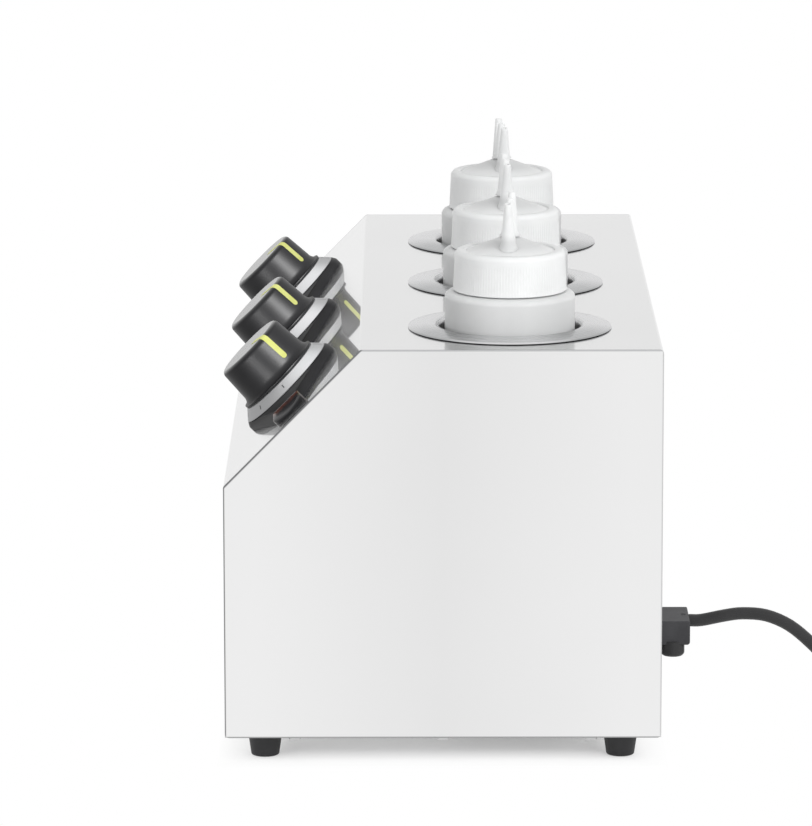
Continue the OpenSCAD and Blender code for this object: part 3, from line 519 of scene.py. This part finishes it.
def well_profile():
    """Outside of the can up to the flange, over the flange's crown, which is a third of a sine
    wave, and down the bore to its floor."""
    floor = z_top - well_depth
    outer = well_r + well_wall
    crown_r = np.linspace(flange_r - 0.3, well_r + 1.6, 13)
    wave = np.sin(np.radians(np.linspace(0, 120, 13)))
    crown_z = z_top + rim_rise + (flange_rise - rim_rise) * wave
    corner = (outer - can_corner_r, floor + can_corner_r - well_wall)
    can = [(0, floor - well_wall), *arc(corner, can_corner_r, 270, 360)]
    can += [(outer, z_top - 6), (outer, z_top - 5), (well_r + 2.8, z_top)]
    rim_z = z_top + flange_lift
    rim = [(flange_r - 0.9, z_top), (flange_r - 0.7, rim_z - 0.1), (flange_r - 0.1, rim_z),
           (flange_r + 0.1, rim_z + 0.2)]
    lip = [(well_r + 1, z_top + 1.7), (well_r + 0.4, z_top + 0.9), (well_r + 0.1, z_top - 0.2),
           (well_r, z_top - 1.5), (well_r, z_top - 8)]
    bore = arc((well_r - bore_corner_r, floor + bore_corner_r), bore_corner_r, 0, -90)
    bore += [(0, floor)]
    return can + rim + list(zip(crown_r, crown_z)) + lip + bore


for k in stations:
    place = np.append(station[k], 0)
    piece(f"well_can_{k}", [turned(well_profile(), sides=128) + place], turned_steel, "root",
          [f"well_{k}"])
inner_steel = steel("inner_steel", 190, 0.4)
dress(inner_steel, *(f"band_heater_{k}" for k in stations))

# Insides. Ceramic thermostats with their capillary tubes, the lamps, the terminal block, the earth
# stud and the wires sit behind the steel and show only through the slots in the base plate.
ceramic = moulded("cream_ceramic", shade(222, 216, 202), shade(230, 225, 212), 0.45)
wire_plastic = moulded("wire_silicone", shade(128, 40, 32), shade(140, 46, 36), 0.5)
brass, brass_shader, brass_place = material("plain_brass", {"Metallic": 1.0})
feed(brass_shader, {
    "Base Color": brass_place.clouds(80, 2, shade(196, 164, 92), shade(212, 182, 110)),
    "Roughness": brass_place.waver(900, 2, 0.28, 0.4),
})
amber, amber_shader, amber_place = material("lamp_amber", {"Roughness": 0.25})
feed(amber_shader, {
    "Base Color": amber_place.clouds(200, 2, shade(214, 92, 44), shade(226, 108, 52))})
dress(ceramic, *(f"thermostat_{k}" for k in stations), "terminal_block")
dress(brass, *(f"capillary_{k}" for k in stations), "earth_stud")
dress(screw_steel, *(f"shaft_{k}" for k in stations), "thermostat_screws")
dress(wire_plastic, "wiring")
dress(amber, "indicator_lamps")

# Bezels. Each is moulded in black plastic and pressed onto the sloped face: round under its dial,
# with a tongue that falls away along the row and carries the lamp's window.
bezel_plastic = moulded(
    "bezel_plastic", shade(15, 15, 16), shade(22, 22, 23), 0.34, own={"IOR": 1.1})
bezel_r = 31.4
bezel_h = 5.0
bezel_edge = 2.4
bezel_bore_r = 8
bezel_sides = 144
bezel_clear = 0.02
bezel_shoulder = 1.5
seat_inset = 3.4
nose_u = 59.5
nose_r = 10.5
nose_h = 0.8
brow_u = 45.5
brow_r = 8.5
brow_h = 4.1
dials = {k: next(j for j in frame["joints"] if j["child"] == f"knob_{k}") for k in stations}
dial_spot = np.array(dials[1]["pos_m"])
dial_out = np.array(dials[1]["axis"])


def on_dial(k, points):
    """Points along the row, up the slope and out of it, moved to a station's dial."""
    out, along = np.array(dials[k]["axis"]), np.array([1.0, 0, 0])
    spot = 1000 * np.array(dials[k]["pos_m"])
    return points @ np.stack([along, np.cross(out, along), out]) + spot


def band(r, height, tongue_u, tongue_r, tongue_h):
    """A tight band round two circles: directions within the nose's half angle take their point
    from the tongue's circle and its height, the others from the round part's."""
    way = circle(bezel_sides)
    tongue = way[:, :1] > (bezel_r - nose_r) / nose_u
    return np.where(tongue, (tongue_u, 0, tongue_h) + tongue_r * way, (0, 0, height) + r * way)


def bezel_skin():
    """Upright edge, a rounded shoulder, and a top that falls from the ring's seat to the nose."""
    way = circle(bezel_sides)
    under = way * bezel_bore_r + (0, 0, bezel_clear)
    foot = band(bezel_r, bezel_clear, nose_u, nose_r, bezel_clear)
    edge = band(bezel_r, bezel_edge, nose_u, nose_r, nose_h)
    brow = band(bezel_r - bezel_shoulder, bezel_h, brow_u, brow_r, brow_h)
    seat = way * (bezel_r - seat_inset) + (0, 0, bezel_h)
    bore = way * bezel_bore_r + (0, 0, bezel_h)
    rings = [under, foot, edge, brow, seat, bore]
    return np.concatenate([lofted(rings, (0.15, 0.35, 0.8, 0)), under[None]])


for k in stations:
    piece(f"dial_bezel_{k}", [on_dial(k, bezel_skin())], bezel_plastic, "root",
          [f"bezel_{k}"])

# Lamp windows. Each is a pane of smoked plastic set in the tongue. A dull red glow is painted into
# it near its straight back edge, and a painted highlight along its polished rim shows as a pale
# line.
lens_back = 52.4
lens_half = 9.6
lens_r = 10.9
lens_corner_r = 2.8
lens_middle = np.array([nose_u + 1, 0])
lens_under = ((0.02, 0.05), (1, 0.05))
lens_over = ((1, 0.15), (0.96, 0.42), (0.7, 0.55), (0.35, 0.62), (0.02, 0.64))
rim_half = 0.0033  # half the pane's width, if it reached back to the dial's axis
rim_widens = 0.11  # and how much that grows along the tongue
lens_plastic, lens_shader, lens_place = material("lens_smoke", {"IOR": 1.25})
lens_up = np.cross(dial_out, (1, 0, 0))
lens_u = (lens_place.part("X") - dial_spot[0]).wrapped(0.6 * station_pitch, -0.4 * station_pitch)
lens_v = lens_place.along(lens_up) - float(lens_up @ dial_spot)
past_side = abs(lens_v) - lens_u * rim_widens - rim_half
past_back = lens_back / 1000 - lens_u + 0.0003
# Painted highlight: a pale line along the pane's sides and back edge.
painted_rim_highlight = past_side.larger(past_back).spread(-0.0005, 0.0) * past_side.spread(0.0008, 0.0005)
# Painted glow: dull red near the straight back edge, broken up by noise.
painted_red_glow = (lens_u - lens_back / 1000).spread(0.003, 0.0085, 1, 0)
painted_red_glow = painted_red_glow * lens_place.noise(260, 2).spread(0.3, 0.55)
smoked_with_painted_glow = painted_red_glow.between(shade(34, 34, 36), shade(98, 58, 48))
feed(lens_shader, {
    "Base Color": (painted_rim_highlight * 0.7).between(smoked_with_painted_glow, shade(116, 108, 106)),
    "Roughness": lens_place.waver(1500, 2, 0.12, 0.18),
})


def lens_skin():
    """A pane that follows the tongue's fall and wraps its nose down to the slope. Its outline is
    an arc round the nose and two small corner arcs at the straight back edge; each ring is that
    outline at a share of its size, with a lift off the slope below and off the tongue above."""
    corner_u, corner_v = lens_back + lens_corner_r, lens_half - lens_corner_r
    outline = np.array(arc((nose_u, 0), lens_r, -75, 75, 16)
                       + arc((corner_u, corner_v), lens_corner_r, 80, 180, 4)
                       + arc((corner_u, -corner_v), lens_corner_r, 180, 280, 4))
    rings = []
    for spots, on_tongue in ((lens_under, 0), (lens_over, 1)):
        for share, lift in spots:
            flat = lens_middle + share * (outline - lens_middle)
            fall = np.interp(flat[:, 0], (brow_u + brow_r, nose_u + nose_r), (brow_h, nose_h))
            rings.append(np.c_[flat, on_tongue * fall + lift])
    return np.stack(rings)


for k in stations:
    piece(f"lamp_window_{k}", [on_dial(k, lens_skin())], lens_plastic, "root",
          [f"lamp_lens_{k}"])

# Scale rings. Each is turned in aluminium with a bevel that faces outwards and is pressed onto
# the bezel. Plain black marks are printed up the bevel, with a longer one at the knob's stop.
ring_bore_r = 21.5
ring_r = 29.6
ring_top_r = 25.0
ring_h = 5.4
bevel_foot = 0.4
stop_angle = 89
mark_angles = (stop_angle, *range(3, -226, -40))
mark_half_w = 0.28
mark_lifts = (-0.014, 0.035)
long_mark = (0.12, 0.9)
short_mark = (0.36, 0.7)
ring_silver, ring_shader, ring_place = material("ring_silver", {"Metallic": 1.0})
feed(ring_shader, {
    "Base Color": ring_place.clouds(40, 2, shade(150, 151, 152), shade(158, 158, 159)),
    "Roughness": ring_place.waver(2500, 2, 0.42, 0.48),
})
mark_black = moulded("mark_ink", shade(30, 30, 32), shade(38, 38, 40), 0.5)
ring_skin = turned([
    (ring_bore_r, bezel_h), (ring_r, bezel_h), (ring_r, bezel_h + bevel_foot),
    (ring_top_r, bezel_h + ring_h), (ring_bore_r, bezel_h + ring_h), (ring_bore_r, bezel_h)],
    (0.1, 0.15, 0.3, 0.3), 128)


def scale_marks():
    """Thin blocks of ink. Each one's four corners lie at two shares of the bevel, half a line to
    both sides of the mark's angle. Its faces lie a hair under and over the bevel, and each is
    closed at its own middle."""
    skins = []
    for angle in mark_angles:
        start, end = long_mark if angle == stop_angle else short_mark
        share = np.array([start, start, end, end])[:, None]
        beside = mark_half_w * np.array([-1, 1, 1, -1])[:, None]
        a = math.radians(angle)
        outward = np.array([math.cos(a), math.sin(a), 0])
        sideways = np.array([-math.sin(a), math.cos(a), 0])
        r = ring_r + (ring_top_r - ring_r) * share
        t = bezel_h + bevel_foot + (ring_h - bevel_foot) * share
        low, high = ((r + lift) * outward + beside * sideways + (t + lift) * (0, 0, 1)
                     for lift in mark_lifts)
        low_middle, high_middle = low.mean(axis=0) + 0 * low, high.mean(axis=0) + 0 * high
        skins.append(np.stack([low_middle, low, high, high_middle]))
    return skins


for k in stations:
    piece(f"dial_ring_{k}", [on_dial(k, ring_skin)], ring_silver, "root",
          [f"scale_ring_{k}"])
    marks = [on_dial(k, skin) for skin in scale_marks()]
    piece(f"scale_marks_{k}", marks, mark_black, "root")

# Knobs. Each is moulded in black plastic, matt on its side and polished on its face, and turns
# with its shaft over the ring. A lime line is painted over the face and down the side.
skirt_t = bezel_h + ring_h + 0.4
knob_skirt_r = 24.8
knob_skirt_h = 1.2
knob_waist_r = 21.7
knob_waist_t = skirt_t + 5.5
knob_face_r = 20.7
knob_face_t = skirt_t + 23.3
knob_edge_r = 3.0
polish_start = 0.0015
polish_full = 0.0002
knob_plastic, knob_shader, knob_place = material("knob_plastic", {
    "IOR": 1.26, "Coat IOR": 1.6, "Coat Roughness": 0.16})
face_height = float(dial_out @ dial_spot) + knob_face_t / 1000
polish = knob_place.along(dial_out).spread(
    face_height - polish_start, face_height - polish_full, 0, 0.85)
knob_grain = knob_place.noise(3000, 2)
feed(knob_shader, {
    "Base Color": knob_place.clouds(60, 4, shade(12, 12, 13), shade(18, 18, 19)),
    "Roughness": knob_grain.spread(*noise_core, 0.36, 0.44),
    "Coat Weight": polish,
    "Normal": knob_grain.bump(0.00001),
})
lime_paint, lime_shader, lime_place = material("lime_paint", {"Roughness": 0.5})
feed(lime_shader, {
    "Base Color": lime_place.clouds(200, 2, shade(218, 222, 122), shade(230, 233, 146))})


def knob_profile():
    """Skirt, a flare in a quarter of an ellipse up to the waist, the tapered side, a rounded edge
    and the face."""
    flare_size = (knob_waist_r - knob_skirt_r, skirt_t + knob_skirt_h - knob_waist_t)
    flare = arc((knob_skirt_r, knob_waist_t), flare_size, 90, 0, 10)
    side = [(knob_waist_r - 0.06, knob_waist_t + 1),
            (knob_face_r + 0.03, knob_face_t - knob_edge_r - 0.5)]
    rim = arc((knob_face_r - knob_edge_r, knob_face_t - knob_edge_r), knob_edge_r, 0, 90, 8)
    face = [(knob_face_r - knob_edge_r - 0.6, knob_face_t), (0, knob_face_t)]
    skirt = [(0, skirt_t), (knob_skirt_r - 0.3, skirt_t), (knob_skirt_r, skirt_t + 0.3)]
    return skirt + flare + side + rim + face


for k in stations:
    piece(f"dial_knob_{k}", [on_dial(k, turned(knob_profile(), sides=128))], knob_plastic,
          f"knob_{k}", [f"knob_{k}"])
    dress(lime_paint, f"pointer_{k}")

# Cord block. It is moulded in black plastic and screwed to the rear panel, where it grips the
# mains cord. A round cap below it covers the clamp's screw.
cord_black = moulded("cord_pvc", shade(30, 30, 31), shade(38, 38, 39), 0.42, 0.6)
entry_black = moulded("entry_plastic", shade(64, 64, 66), shade(74, 74, 76), 0.4, own={"IOR": 1.12})
cord_d = 7.0
collar_r = cord_d / 2 + 0.4
collar_len = 2.4
collar_sink = 1.8
entry_low, entry_high = box_mm("cord_entry")
cord_exit = np.array([110, entry_high[1], 52.5])
block_low = entry_low + (0, 0, 3.6)  # the block is lower than its solid, below and above
block_high = entry_high - (0, 0, 3.0)
block_upper_r = 0.8
block_lower_r = 1.6
clamp_low, clamp_high = box_mm("clamp_cap")
clamp_r = (clamp_high[0] - clamp_low[0]) / 2 + 0.4
clamp_h = clamp_high[2] - clamp_low[2] + 1.4
clamp_shift = (2.2, -1.6, 4.0)
clamp_foot = np.append((clamp_low[:2] + clamp_high[:2]) / 2, clamp_low[2]) + clamp_shift


def block_ring(x, size):
    """Outline of the block from the side at one x: a rectangle with an arc for each corner, at
    full size or shrunk to its middle."""
    low, high = block_low[1:], block_high[1:]
    middle = (low + high) / 2
    corners = [(high[0], high[1], block_upper_r), (low[0], high[1], block_upper_r),
               (low[0], low[1], block_lower_r), (high[0], low[1], block_lower_r)]
    ring = []
    for i, (y, z, r) in enumerate(corners):
        centre = (y - r * np.sign(y - middle[0]), z - r * np.sign(z - middle[1]))
        ring += arc(centre, r, 90 * i, 90 * i + 90, 7)
    return np.c_[np.full(len(ring), x), middle + size * (np.array(ring) - middle)]


block_ends = ((block_low[0], 0), (block_low[0], 1), (block_high[0], 1), (block_high[0], 0))
block_skin = lofted([block_ring(x, size) for x, size in block_ends], (0.9, 0.9))
collar = turned([
    (0, 0), (collar_r, 0), (collar_r, collar_len - 0.4), (cord_d / 2 + 0.1, collar_len),
    (0, collar_len)], (0, 0.1, 0.1), 48)
collar_skin = np.stack([collar[..., 0], -collar[..., 2], collar[..., 1]], -1)
collar_skin = collar_skin + cord_exit - (0, collar_sink, 0)
cord_block = piece("cord_block", [block_skin, collar_skin], entry_black, "root",
                   ["cord_entry"])
clamp_skin = turned([
    (0, 0), (clamp_r - 1.2, 0), (clamp_r, 1.4), (clamp_r, clamp_h), (0, clamp_h)],
    (0.6, 0.7, 0), 64)
clamp_screw = piece("clamp_screw_cap", [clamp_skin + clamp_foot], cord_black, "root",
                    ["clamp_cap"])

# Cord. A mains cord with a black plastic sheath, 7 mm thick, leaves the block, arches down to
# the table and lies there in a coil of four layers. A moulded two-pin plug ends it.
lead_route = [
    [110, 144, 52.6], [110, 157, 55.2], [110, 167, 56.4], [110, 180, 55.2], [110, 193, 49.5],
    [110, 205, 39.5], [110, 214, 30], [110, 223, 20.5], [110, 233, 11.5], [110, 243, 6],
    [110, 252, 3.6], [110, 261, 3.5],
]
plug_route = [
    [61, 310, 25.85], [52, 310, 25.85], [42, 310, 22.225], [32, 310, 18.6], [22, 310, 18.6]]
coil_centre = np.array([68, 268])
coil_turns = 6.25
coil_layers = 4
coil_outer_r = 42
coil_step = 7.5
coil_per_turn = 24
layer_rise = 7.45


def coil_route():
    """Piled loops: the radius goes in and out at a steady rate, and each layer climbs onto the
    last in the half turn where the spiral reverses."""
    turn = np.arange(round(coil_turns * coil_per_turn) + 1) / coil_per_turn
    in_layer = coil_turns / coil_layers
    layer = np.minimum(coil_layers - 1, turn // in_layer)
    along = turn - layer * in_layer
    r = coil_outer_r - coil_step * np.where(layer % 2 == 0, along, in_layer - along)
    climbs = [np.clip((turn - n * in_layer) * 2 + 0.5, 0, 1) for n in range(1, coil_layers)]
    a = 2 * math.pi * turn
    x, y = coil_centre[0] + r * np.cos(a), coil_centre[1] + r * np.sin(a)
    return np.stack([x, y, cord_d / 2 + layer_rise * sum(climbs)], axis=-1)


def smooth_route(points, steps):
    """A curve through all points: between two of them it is the cubic whose slopes at both are
    half the way from each one's last neighbour to its next."""
    padded = np.concatenate([[2 * points[0] - points[1]], points, [2 * points[-1] - points[-2]]])
    a, b, c, d = (padded[i:len(padded) - 3 + i, None] for i in range(4))
    t = np.linspace(0, 1, steps, endpoint=False)[:, None]
    bend, twist = a - 2.5 * b + 2 * c - d / 2, 1.5 * (b - c) + (d - a) / 2
    cubic = b + t * (c - a) / 2 + t ** 2 * bend + t ** 3 * twist
    return np.concatenate([cubic.reshape(-1, 3), points[-1:]])


whole_route = np.concatenate([[cord_exit], lead_route, coil_route(), plug_route])
cord_points = smooth_route(whole_route, 4) / 1000
cord_curve = bpy.data.curves.new("mains_cord", "CURVE")
cord_curve.dimensions = "3D"
cord_curve.twist_mode = "MINIMUM"
cord_curve.bevel_depth = cord_d / 2000
cord_curve.bevel_resolution = 6
cord_curve.use_fill_caps = True
cord_spline = cord_curve.splines.new("POLY")
cord_spline.points.add(len(cord_points) - 1)
cord_spline.points.foreach_set("co", np.c_[cord_points, np.ones(len(cord_points))].ravel())
cord_spline.use_smooth = True
cord_curve.materials.append(cord_black)
mains_cord = bpy.data.objects.new("mains_cord", cord_curve)
bpy.context.collection.objects.link(mains_cord)
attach(mains_cord, "root")
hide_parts("cord_lead", "cord_coil")
dress(cord_black, "plug_body")
dress(screw_steel, "plug_contacts")

# Bottles. Each squeeze bottle is blown from milky polyethylene with a thin wall, a rounded
# shoulder and a wide neck, and stands loose in its well.
bottle_milky, milky_shader, milky_place = material("milky_polyethylene", {
    "Subsurface Weight": 0.4, "Subsurface Radius": (0.004, 0.004, 0.004), "Subsurface Scale": 1.0,
    "Transmission Weight": 0.15, "IOR": 1.45})
feed(milky_shader, {
    "Base Color": milky_place.clouds(30, 3, shade(222, 223, 223), shade(232, 233, 233)),
    "Roughness": milky_place.waver(600, 2, 0.32, 0.42),
})
bottle_r = 35.2
bottle_wall = 1.2
bottle_foot_r = 4
bottle_floor = bottle_wall + 0.4
shoulder_w = 5
shoulder_rise = 3.2
neck_r = 26.5
neck_h = 17.0
bottle_h = 195.0


def bottle_profile():
    """Floor, side, shoulder, neck and rim outside, and the same inside a wall further in."""
    top = bottle_h + shoulder_rise
    rim = top + neck_h
    foot_middle = bottle_r - bottle_foot_r
    outside = [(0, 0), (foot_middle - 0.6, 0)]
    outside += arc((foot_middle, bottle_foot_r), bottle_foot_r, 270, 360)
    outside += [(bottle_r, 5), (bottle_r, bottle_h - 1)]
    outside += arc((bottle_r - shoulder_w, bottle_h), (shoulder_w, shoulder_rise), 0, 90)
    outside += [(bottle_r - shoulder_w - 0.6, top), (neck_r + 0.6, top),
                (neck_r + 0.15, top + 0.15), (neck_r, top + 0.6), (neck_r, rim - 0.4),
                (neck_r - 0.15, rim - 0.1), (neck_r - 0.4, rim)]
    inner = bottle_r - bottle_wall
    neck_in = neck_r - bottle_wall
    inside = [(neck_in + 0.3, rim), (neck_in, rim - 0.4), (neck_in, top - bottle_wall)]
    inside += arc((inner - 4, bottle_h - bottle_wall), (4, shoulder_rise), 90, 0) + [(inner, 5)]
    inside += arc((inner - 3, bottle_floor + 3), 3, 0, -90) + [(0, bottle_floor)]
    return outside + inside


for k in stations:
    place = np.append(station[k], box_mm(f"bottle_{k}")[0][2])
    piece(f"squeeze_bottle_{k}", [turned(bottle_profile(), sides=128) + place], bottle_milky,
          f"bottle_{k}", [f"bottle_{k}"])

# Caps. Moulded in white polyethylene, finely ribbed for grip, with a low cone in the top and
# three slim nozzles in a row; the outer two lean outwards. They screw onto the bottles' necks.
cap_r = 30.7
cap_h = 22.0
cap_taper = 0.9
cap_wall = 2.0
cap_ceiling = 17.6
cap_gap = 0.35
cone_r = 24.0
cone_sink = 1.0
cone_h = 8.5
rim_round = 3.0
rib_count = 120
rib_depth = 0.22
rib_foot = 0.3
rib_top = 16.2
nozzle_pitch = 14.0
nozzle_lean = 13.5
nozzle_len = 25.3
nozzle_foot_r = 4.3
nozzle_tip_r = 1.9
nozzle_bore_r = 0.9
nozzle_sink = -1.2
flare_h = 4.7
flare_w = 1.5
cap_turns = {1: -4, 2: 1.5, 3: 4}

# The cap's finish. The top inside the rim lies in its own shadow, so the low part of the cone
# is a little darker than the side, the rim and the nozzles.
cap_white, cap_shader, cap_place = material("cap_polyethylene", {
    "Subsurface Weight": 0.3, "Subsurface Radius": (0.003, 0.003, 0.003), "Subsurface Scale": 1.0,
    "IOR": 1.5})
cone_foot_z = box_mm("cap_1")[0][2] / 1000 + 0.0215
cap_z = cap_place.part("Z") - cone_foot_z
on_cone = cap_z.spread(0.0, 0.003) * cap_z.spread(0.007, 0.011, 1, 0)
cap_tone = cap_place.clouds(50, 3, shade(224, 225, 225), shade(232, 233, 233))
feed(cap_shader, {
    "Base Color": on_cone.between(cap_tone, shade(208, 209, 209)),
    "Roughness": cap_place.waver(1500, 2, 0.3, 0.4),
})


def cone_z(r):
    """Height of the cone at a radius: a straight fall from its tip to its sunk edge."""
    return cap_h - cone_sink + (cone_h + cone_sink) * (1 - r / cone_r)


def cap_skin():
    """Ribbed side, rounded rim and cone outside, then the ceiling and the bore inside. The ribs
    are a wave round the side that fades in near its lower edge and out below the rim."""
    rim_r = cap_r - cap_taper
    in_r = neck_r + cap_gap
    side_top = cap_h - rim_round
    side = [(cap_r - cap_taper * h / side_top, h) for h in np.linspace(0.4, side_top, 16)]
    outside = [(in_r, 0), (cap_r - 0.5, 0)] + side
    outside += arc((rim_r - rim_round, side_top), rim_round, 6, 90, 9)
    outside += [(cone_r + 0.9, cap_h), (cone_r + 0.4, cap_h - 0.15), (cone_r, cone_z(cone_r))]
    outside += [(r, cone_z(r)) for r in (23, 18, 12, 6, 2)] + [(0.6, cone_z(1.2)), (0, cone_z(1))]
    inside = [(0, cone_z(3) - cap_wall)]
    inside += [(r, cone_z(r) - cap_wall) for r in (3, cone_r - 1.5)]
    inside += [(cone_r, cap_ceiling), (in_r, cap_ceiling), (in_r, 0)]
    profile = np.array(outside + inside)
    columns = 4 * rib_count
    skin = turned(profile, sides=columns)
    radius, height = profile.T
    ribbed = (np.arange(len(profile)) < 2 + len(side)) & (radius > in_r + 1)
    fade_in, fade_out = (height - rib_foot) / 0.8, (rib_top - height) / 1.2
    fade = np.clip(fade_in, 0, 1) * np.clip(fade_out, 0, 1) * ribbed
    wave = 0.5 - 0.5 * np.cos(2 * math.pi * rib_count * np.arange(columns) / columns)
    shrink = rib_depth * fade[:, None] * wave / np.maximum(radius, 1)[:, None]
    return skin * (1 - shrink)[..., None] * (1, 1, 0) + skin * (0, 0, 1)


def nozzle_skin(side):
    """A tapered tube with a flared foot, open at its tip, leaning outwards from the row's middle.
    The foot's flare shrinks with a power of its height, and the middle nozzle is cut shorter so
    that all three tips stand level."""
    lean = math.radians(side * nozzle_lean)
    length = nozzle_len
    if side == 0:
        lost_height = nozzle_len * (1 - math.cos(math.radians(nozzle_lean)))
        length -= lost_height + cone_z(0) - cone_z(nozzle_pitch)
    s = np.linspace(0, 1, 7)
    flare_r = nozzle_foot_r + flare_w * (1 - s) ** 2.2 - 0.35 * s
    h = np.linspace(nozzle_sink + flare_h, length - 0.6, 6)[1:]
    taper = nozzle_foot_r + (nozzle_tip_r - nozzle_foot_r) * h / length
    profile = [(0, nozzle_sink), (0.4, nozzle_sink)]
    profile += [*zip(flare_r, nozzle_sink + flare_h * s), *zip(taper, h)]
    profile += [(nozzle_tip_r - 0.02, length - 0.3), (nozzle_tip_r - 0.25, length)]
    profile += [(nozzle_bore_r + 0.15, length), (nozzle_bore_r, length - 0.2),
                (nozzle_bore_r, length - 8), (0, length - 8)]
    x, y, z = np.moveaxis(turned(profile, sides=40), -1, 0)
    leaning = [x * math.cos(lean) + z * math.sin(lean), y, z * math.cos(lean) - x * math.sin(lean)]
    return np.stack(leaning, -1) + (side * nozzle_pitch, 0, cone_z(abs(side) * nozzle_pitch))


for k in stations:
    a = math.radians(cap_turns[k])
    turn = np.array([[math.cos(a), math.sin(a), 0], [-math.sin(a), math.cos(a), 0], [0, 0, 1]])
    place = np.append(station[k], box_mm(f"cap_{k}")[0][2])
    skins = [cap_skin() @ turn + place] + [nozzle_skin(side) @ turn + place for side in (-1, 0, 1)]
    piece(f"nozzle_cap_{k}", skins, cap_white, f"cap_{k}", [f"cap_{k}"])

# Lamps. A soft key lamp and a weaker fill light everything. Two small lamps for each dial give
# the knob its two bands of light, and one more over the row brightens the scale rings.
key_size = 1.6
dial_lamp_size = 0.2
dial_lamp_far = 500
dial_lamp_sink = -0.12
dial_lamps = (("low", -15, 3.7), ("high", 46, 9.4))


def lamp(name, place, aim, size, watts, only=()):
    """A square soft lamp that points from its place to its aim. It lights either everything, and
    then makes no highlights, or only the pieces whose names begin with a given word."""
    data = bpy.data.lights.new(name, "AREA")
    data.size = size
    data.energy = watts
    made = bpy.data.objects.new(name, data)
    back = unit(np.array(place, float) - np.array(aim, float))
    side = unit(np.cross((0, 0, 1), back))
    made.matrix_world = turned_to(place, side, np.cross(back, side), back)
    made.visible_camera = False
    made.visible_glossy = bool(only)
    bpy.context.collection.objects.link(made)
    if only:
        lit = bpy.data.collections.new(f"{name}_lit")
        for shown in list(bpy.data.objects):
            if shown.name.startswith(only):
                lit.objects.link(shown)
        made.light_linking.receiver_collection = lit
        made.light_linking.blocker_collection = lit


lamp("key_lamp", (2.1, 1.5, 1.5), (0, 0, 0.15), key_size, 52)
lamp("fill_lamp", (1.7, -1.9, 1.0), (0, 0, 0.15), key_size, 14)
for k in stations:
    aim = on_dial(k, np.array([0, 0, 20.0])) / 1000
    for name, angle, watts in dial_lamps:
        a = math.radians(angle)
        way = np.array([math.cos(a), math.sin(a), dial_lamp_sink])
        place = on_dial(k, dial_lamp_far * way) / 1000
        lamp(f"{name}_dial_lamp_{k}", place.tolist(), aim.tolist(), dial_lamp_size, watts,
             (f"dial_knob_{k}", f"dial_bezel_{k}"))
lamp("ring_lamp", (-0.1, -0.45, 1.3), (0.1, -0.1, 0.2), key_size, 15, ("dial_ring",))

# Floor and surround. Both are plain white to the camera, to mirrors and to glass. Under the
# warmer the floor shows its own shaded surface, a little lifted, and so keeps the shadow there.
floor_half = 15.0
floor_z = -0.0003
floor_lift = 0.22
shadow_edge = (0.005, -0.035)
surround_light = 0.55
half_length = panel_faces["right"][0] / 1000
half_depth = y_back / 1000


def shown_white(wire):
    """1 for rays from the camera, a mirror or glass, and 0 for those that light other things."""
    rays = [wire.node("ShaderNodeLightPath", {}, {}, f"Is {kind} Ray")
            for kind in ("Camera", "Glossy", "Transmission")]
    return rays[0].larger(rays[1]).larger(rays[2])


floor_mesh = bpy.data.meshes.new("floor")
floor_mesh.from_pydata([
    (-floor_half, -floor_half, floor_z), (floor_half, -floor_half, floor_z),
    (floor_half, floor_half, floor_z), (-floor_half, floor_half, floor_z)], [], [(0, 1, 2, 3)])
floor = bpy.data.objects.new("floor", floor_mesh)
bpy.context.collection.objects.link(floor)
floor_white, floor_shader, floor_place = material("floor_white", {
    "Base Color": shade(232, 232, 232), "Roughness": 0.9, "Specular IOR Level": 0.0})
beside = abs(floor_place.part("X")) - half_length
behind = abs(floor_place.part("Y")) - half_depth
shaded = Wire(floor_shader.outputs[0])
lift = shaded.node("ShaderNodeEmission", {}, {"Strength": floor_lift})
lifted = shaded.node("ShaderNodeAddShader", {}, {0: shaded, 1: lift})
white = shaded.node("ShaderNodeEmission", {}, {"Strength": 1.0})
seen = shaded.node("ShaderNodeMixShader", {}, {
    0: beside.larger(behind).spread(*shadow_edge), 1: white, 2: lifted})
surface = shaded.node("ShaderNodeMixShader", {}, {0: shown_white(shaded), 1: shaded, 2: seen})
feed(floor_white.node_tree.nodes["Material Output"], {"Surface": surface})
floor_mesh.materials.append(floor_white)

world = bpy.data.worlds.new("surround")
bpy.context.scene.world = world
world.use_nodes = True
sky = world.node_tree.nodes
feed(sky["Background"], {"Color": (1, 1, 1, 1), "Strength": surround_light})
sky_light = Wire(sky["Background"].outputs[0])
sky_seen = sky_light.node("ShaderNodeBackground", {}, {"Color": (1, 1, 1, 1), "Strength": 1.0})
surround = sky_light.node("ShaderNodeMixShader", {}, {
    0: shown_white(sky_light), 1: sky_light, 2: sky_seen})
feed(sky["World Output"], {"Surface": surround})

bpy.context.scene.view_settings.view_transform = "Standard"
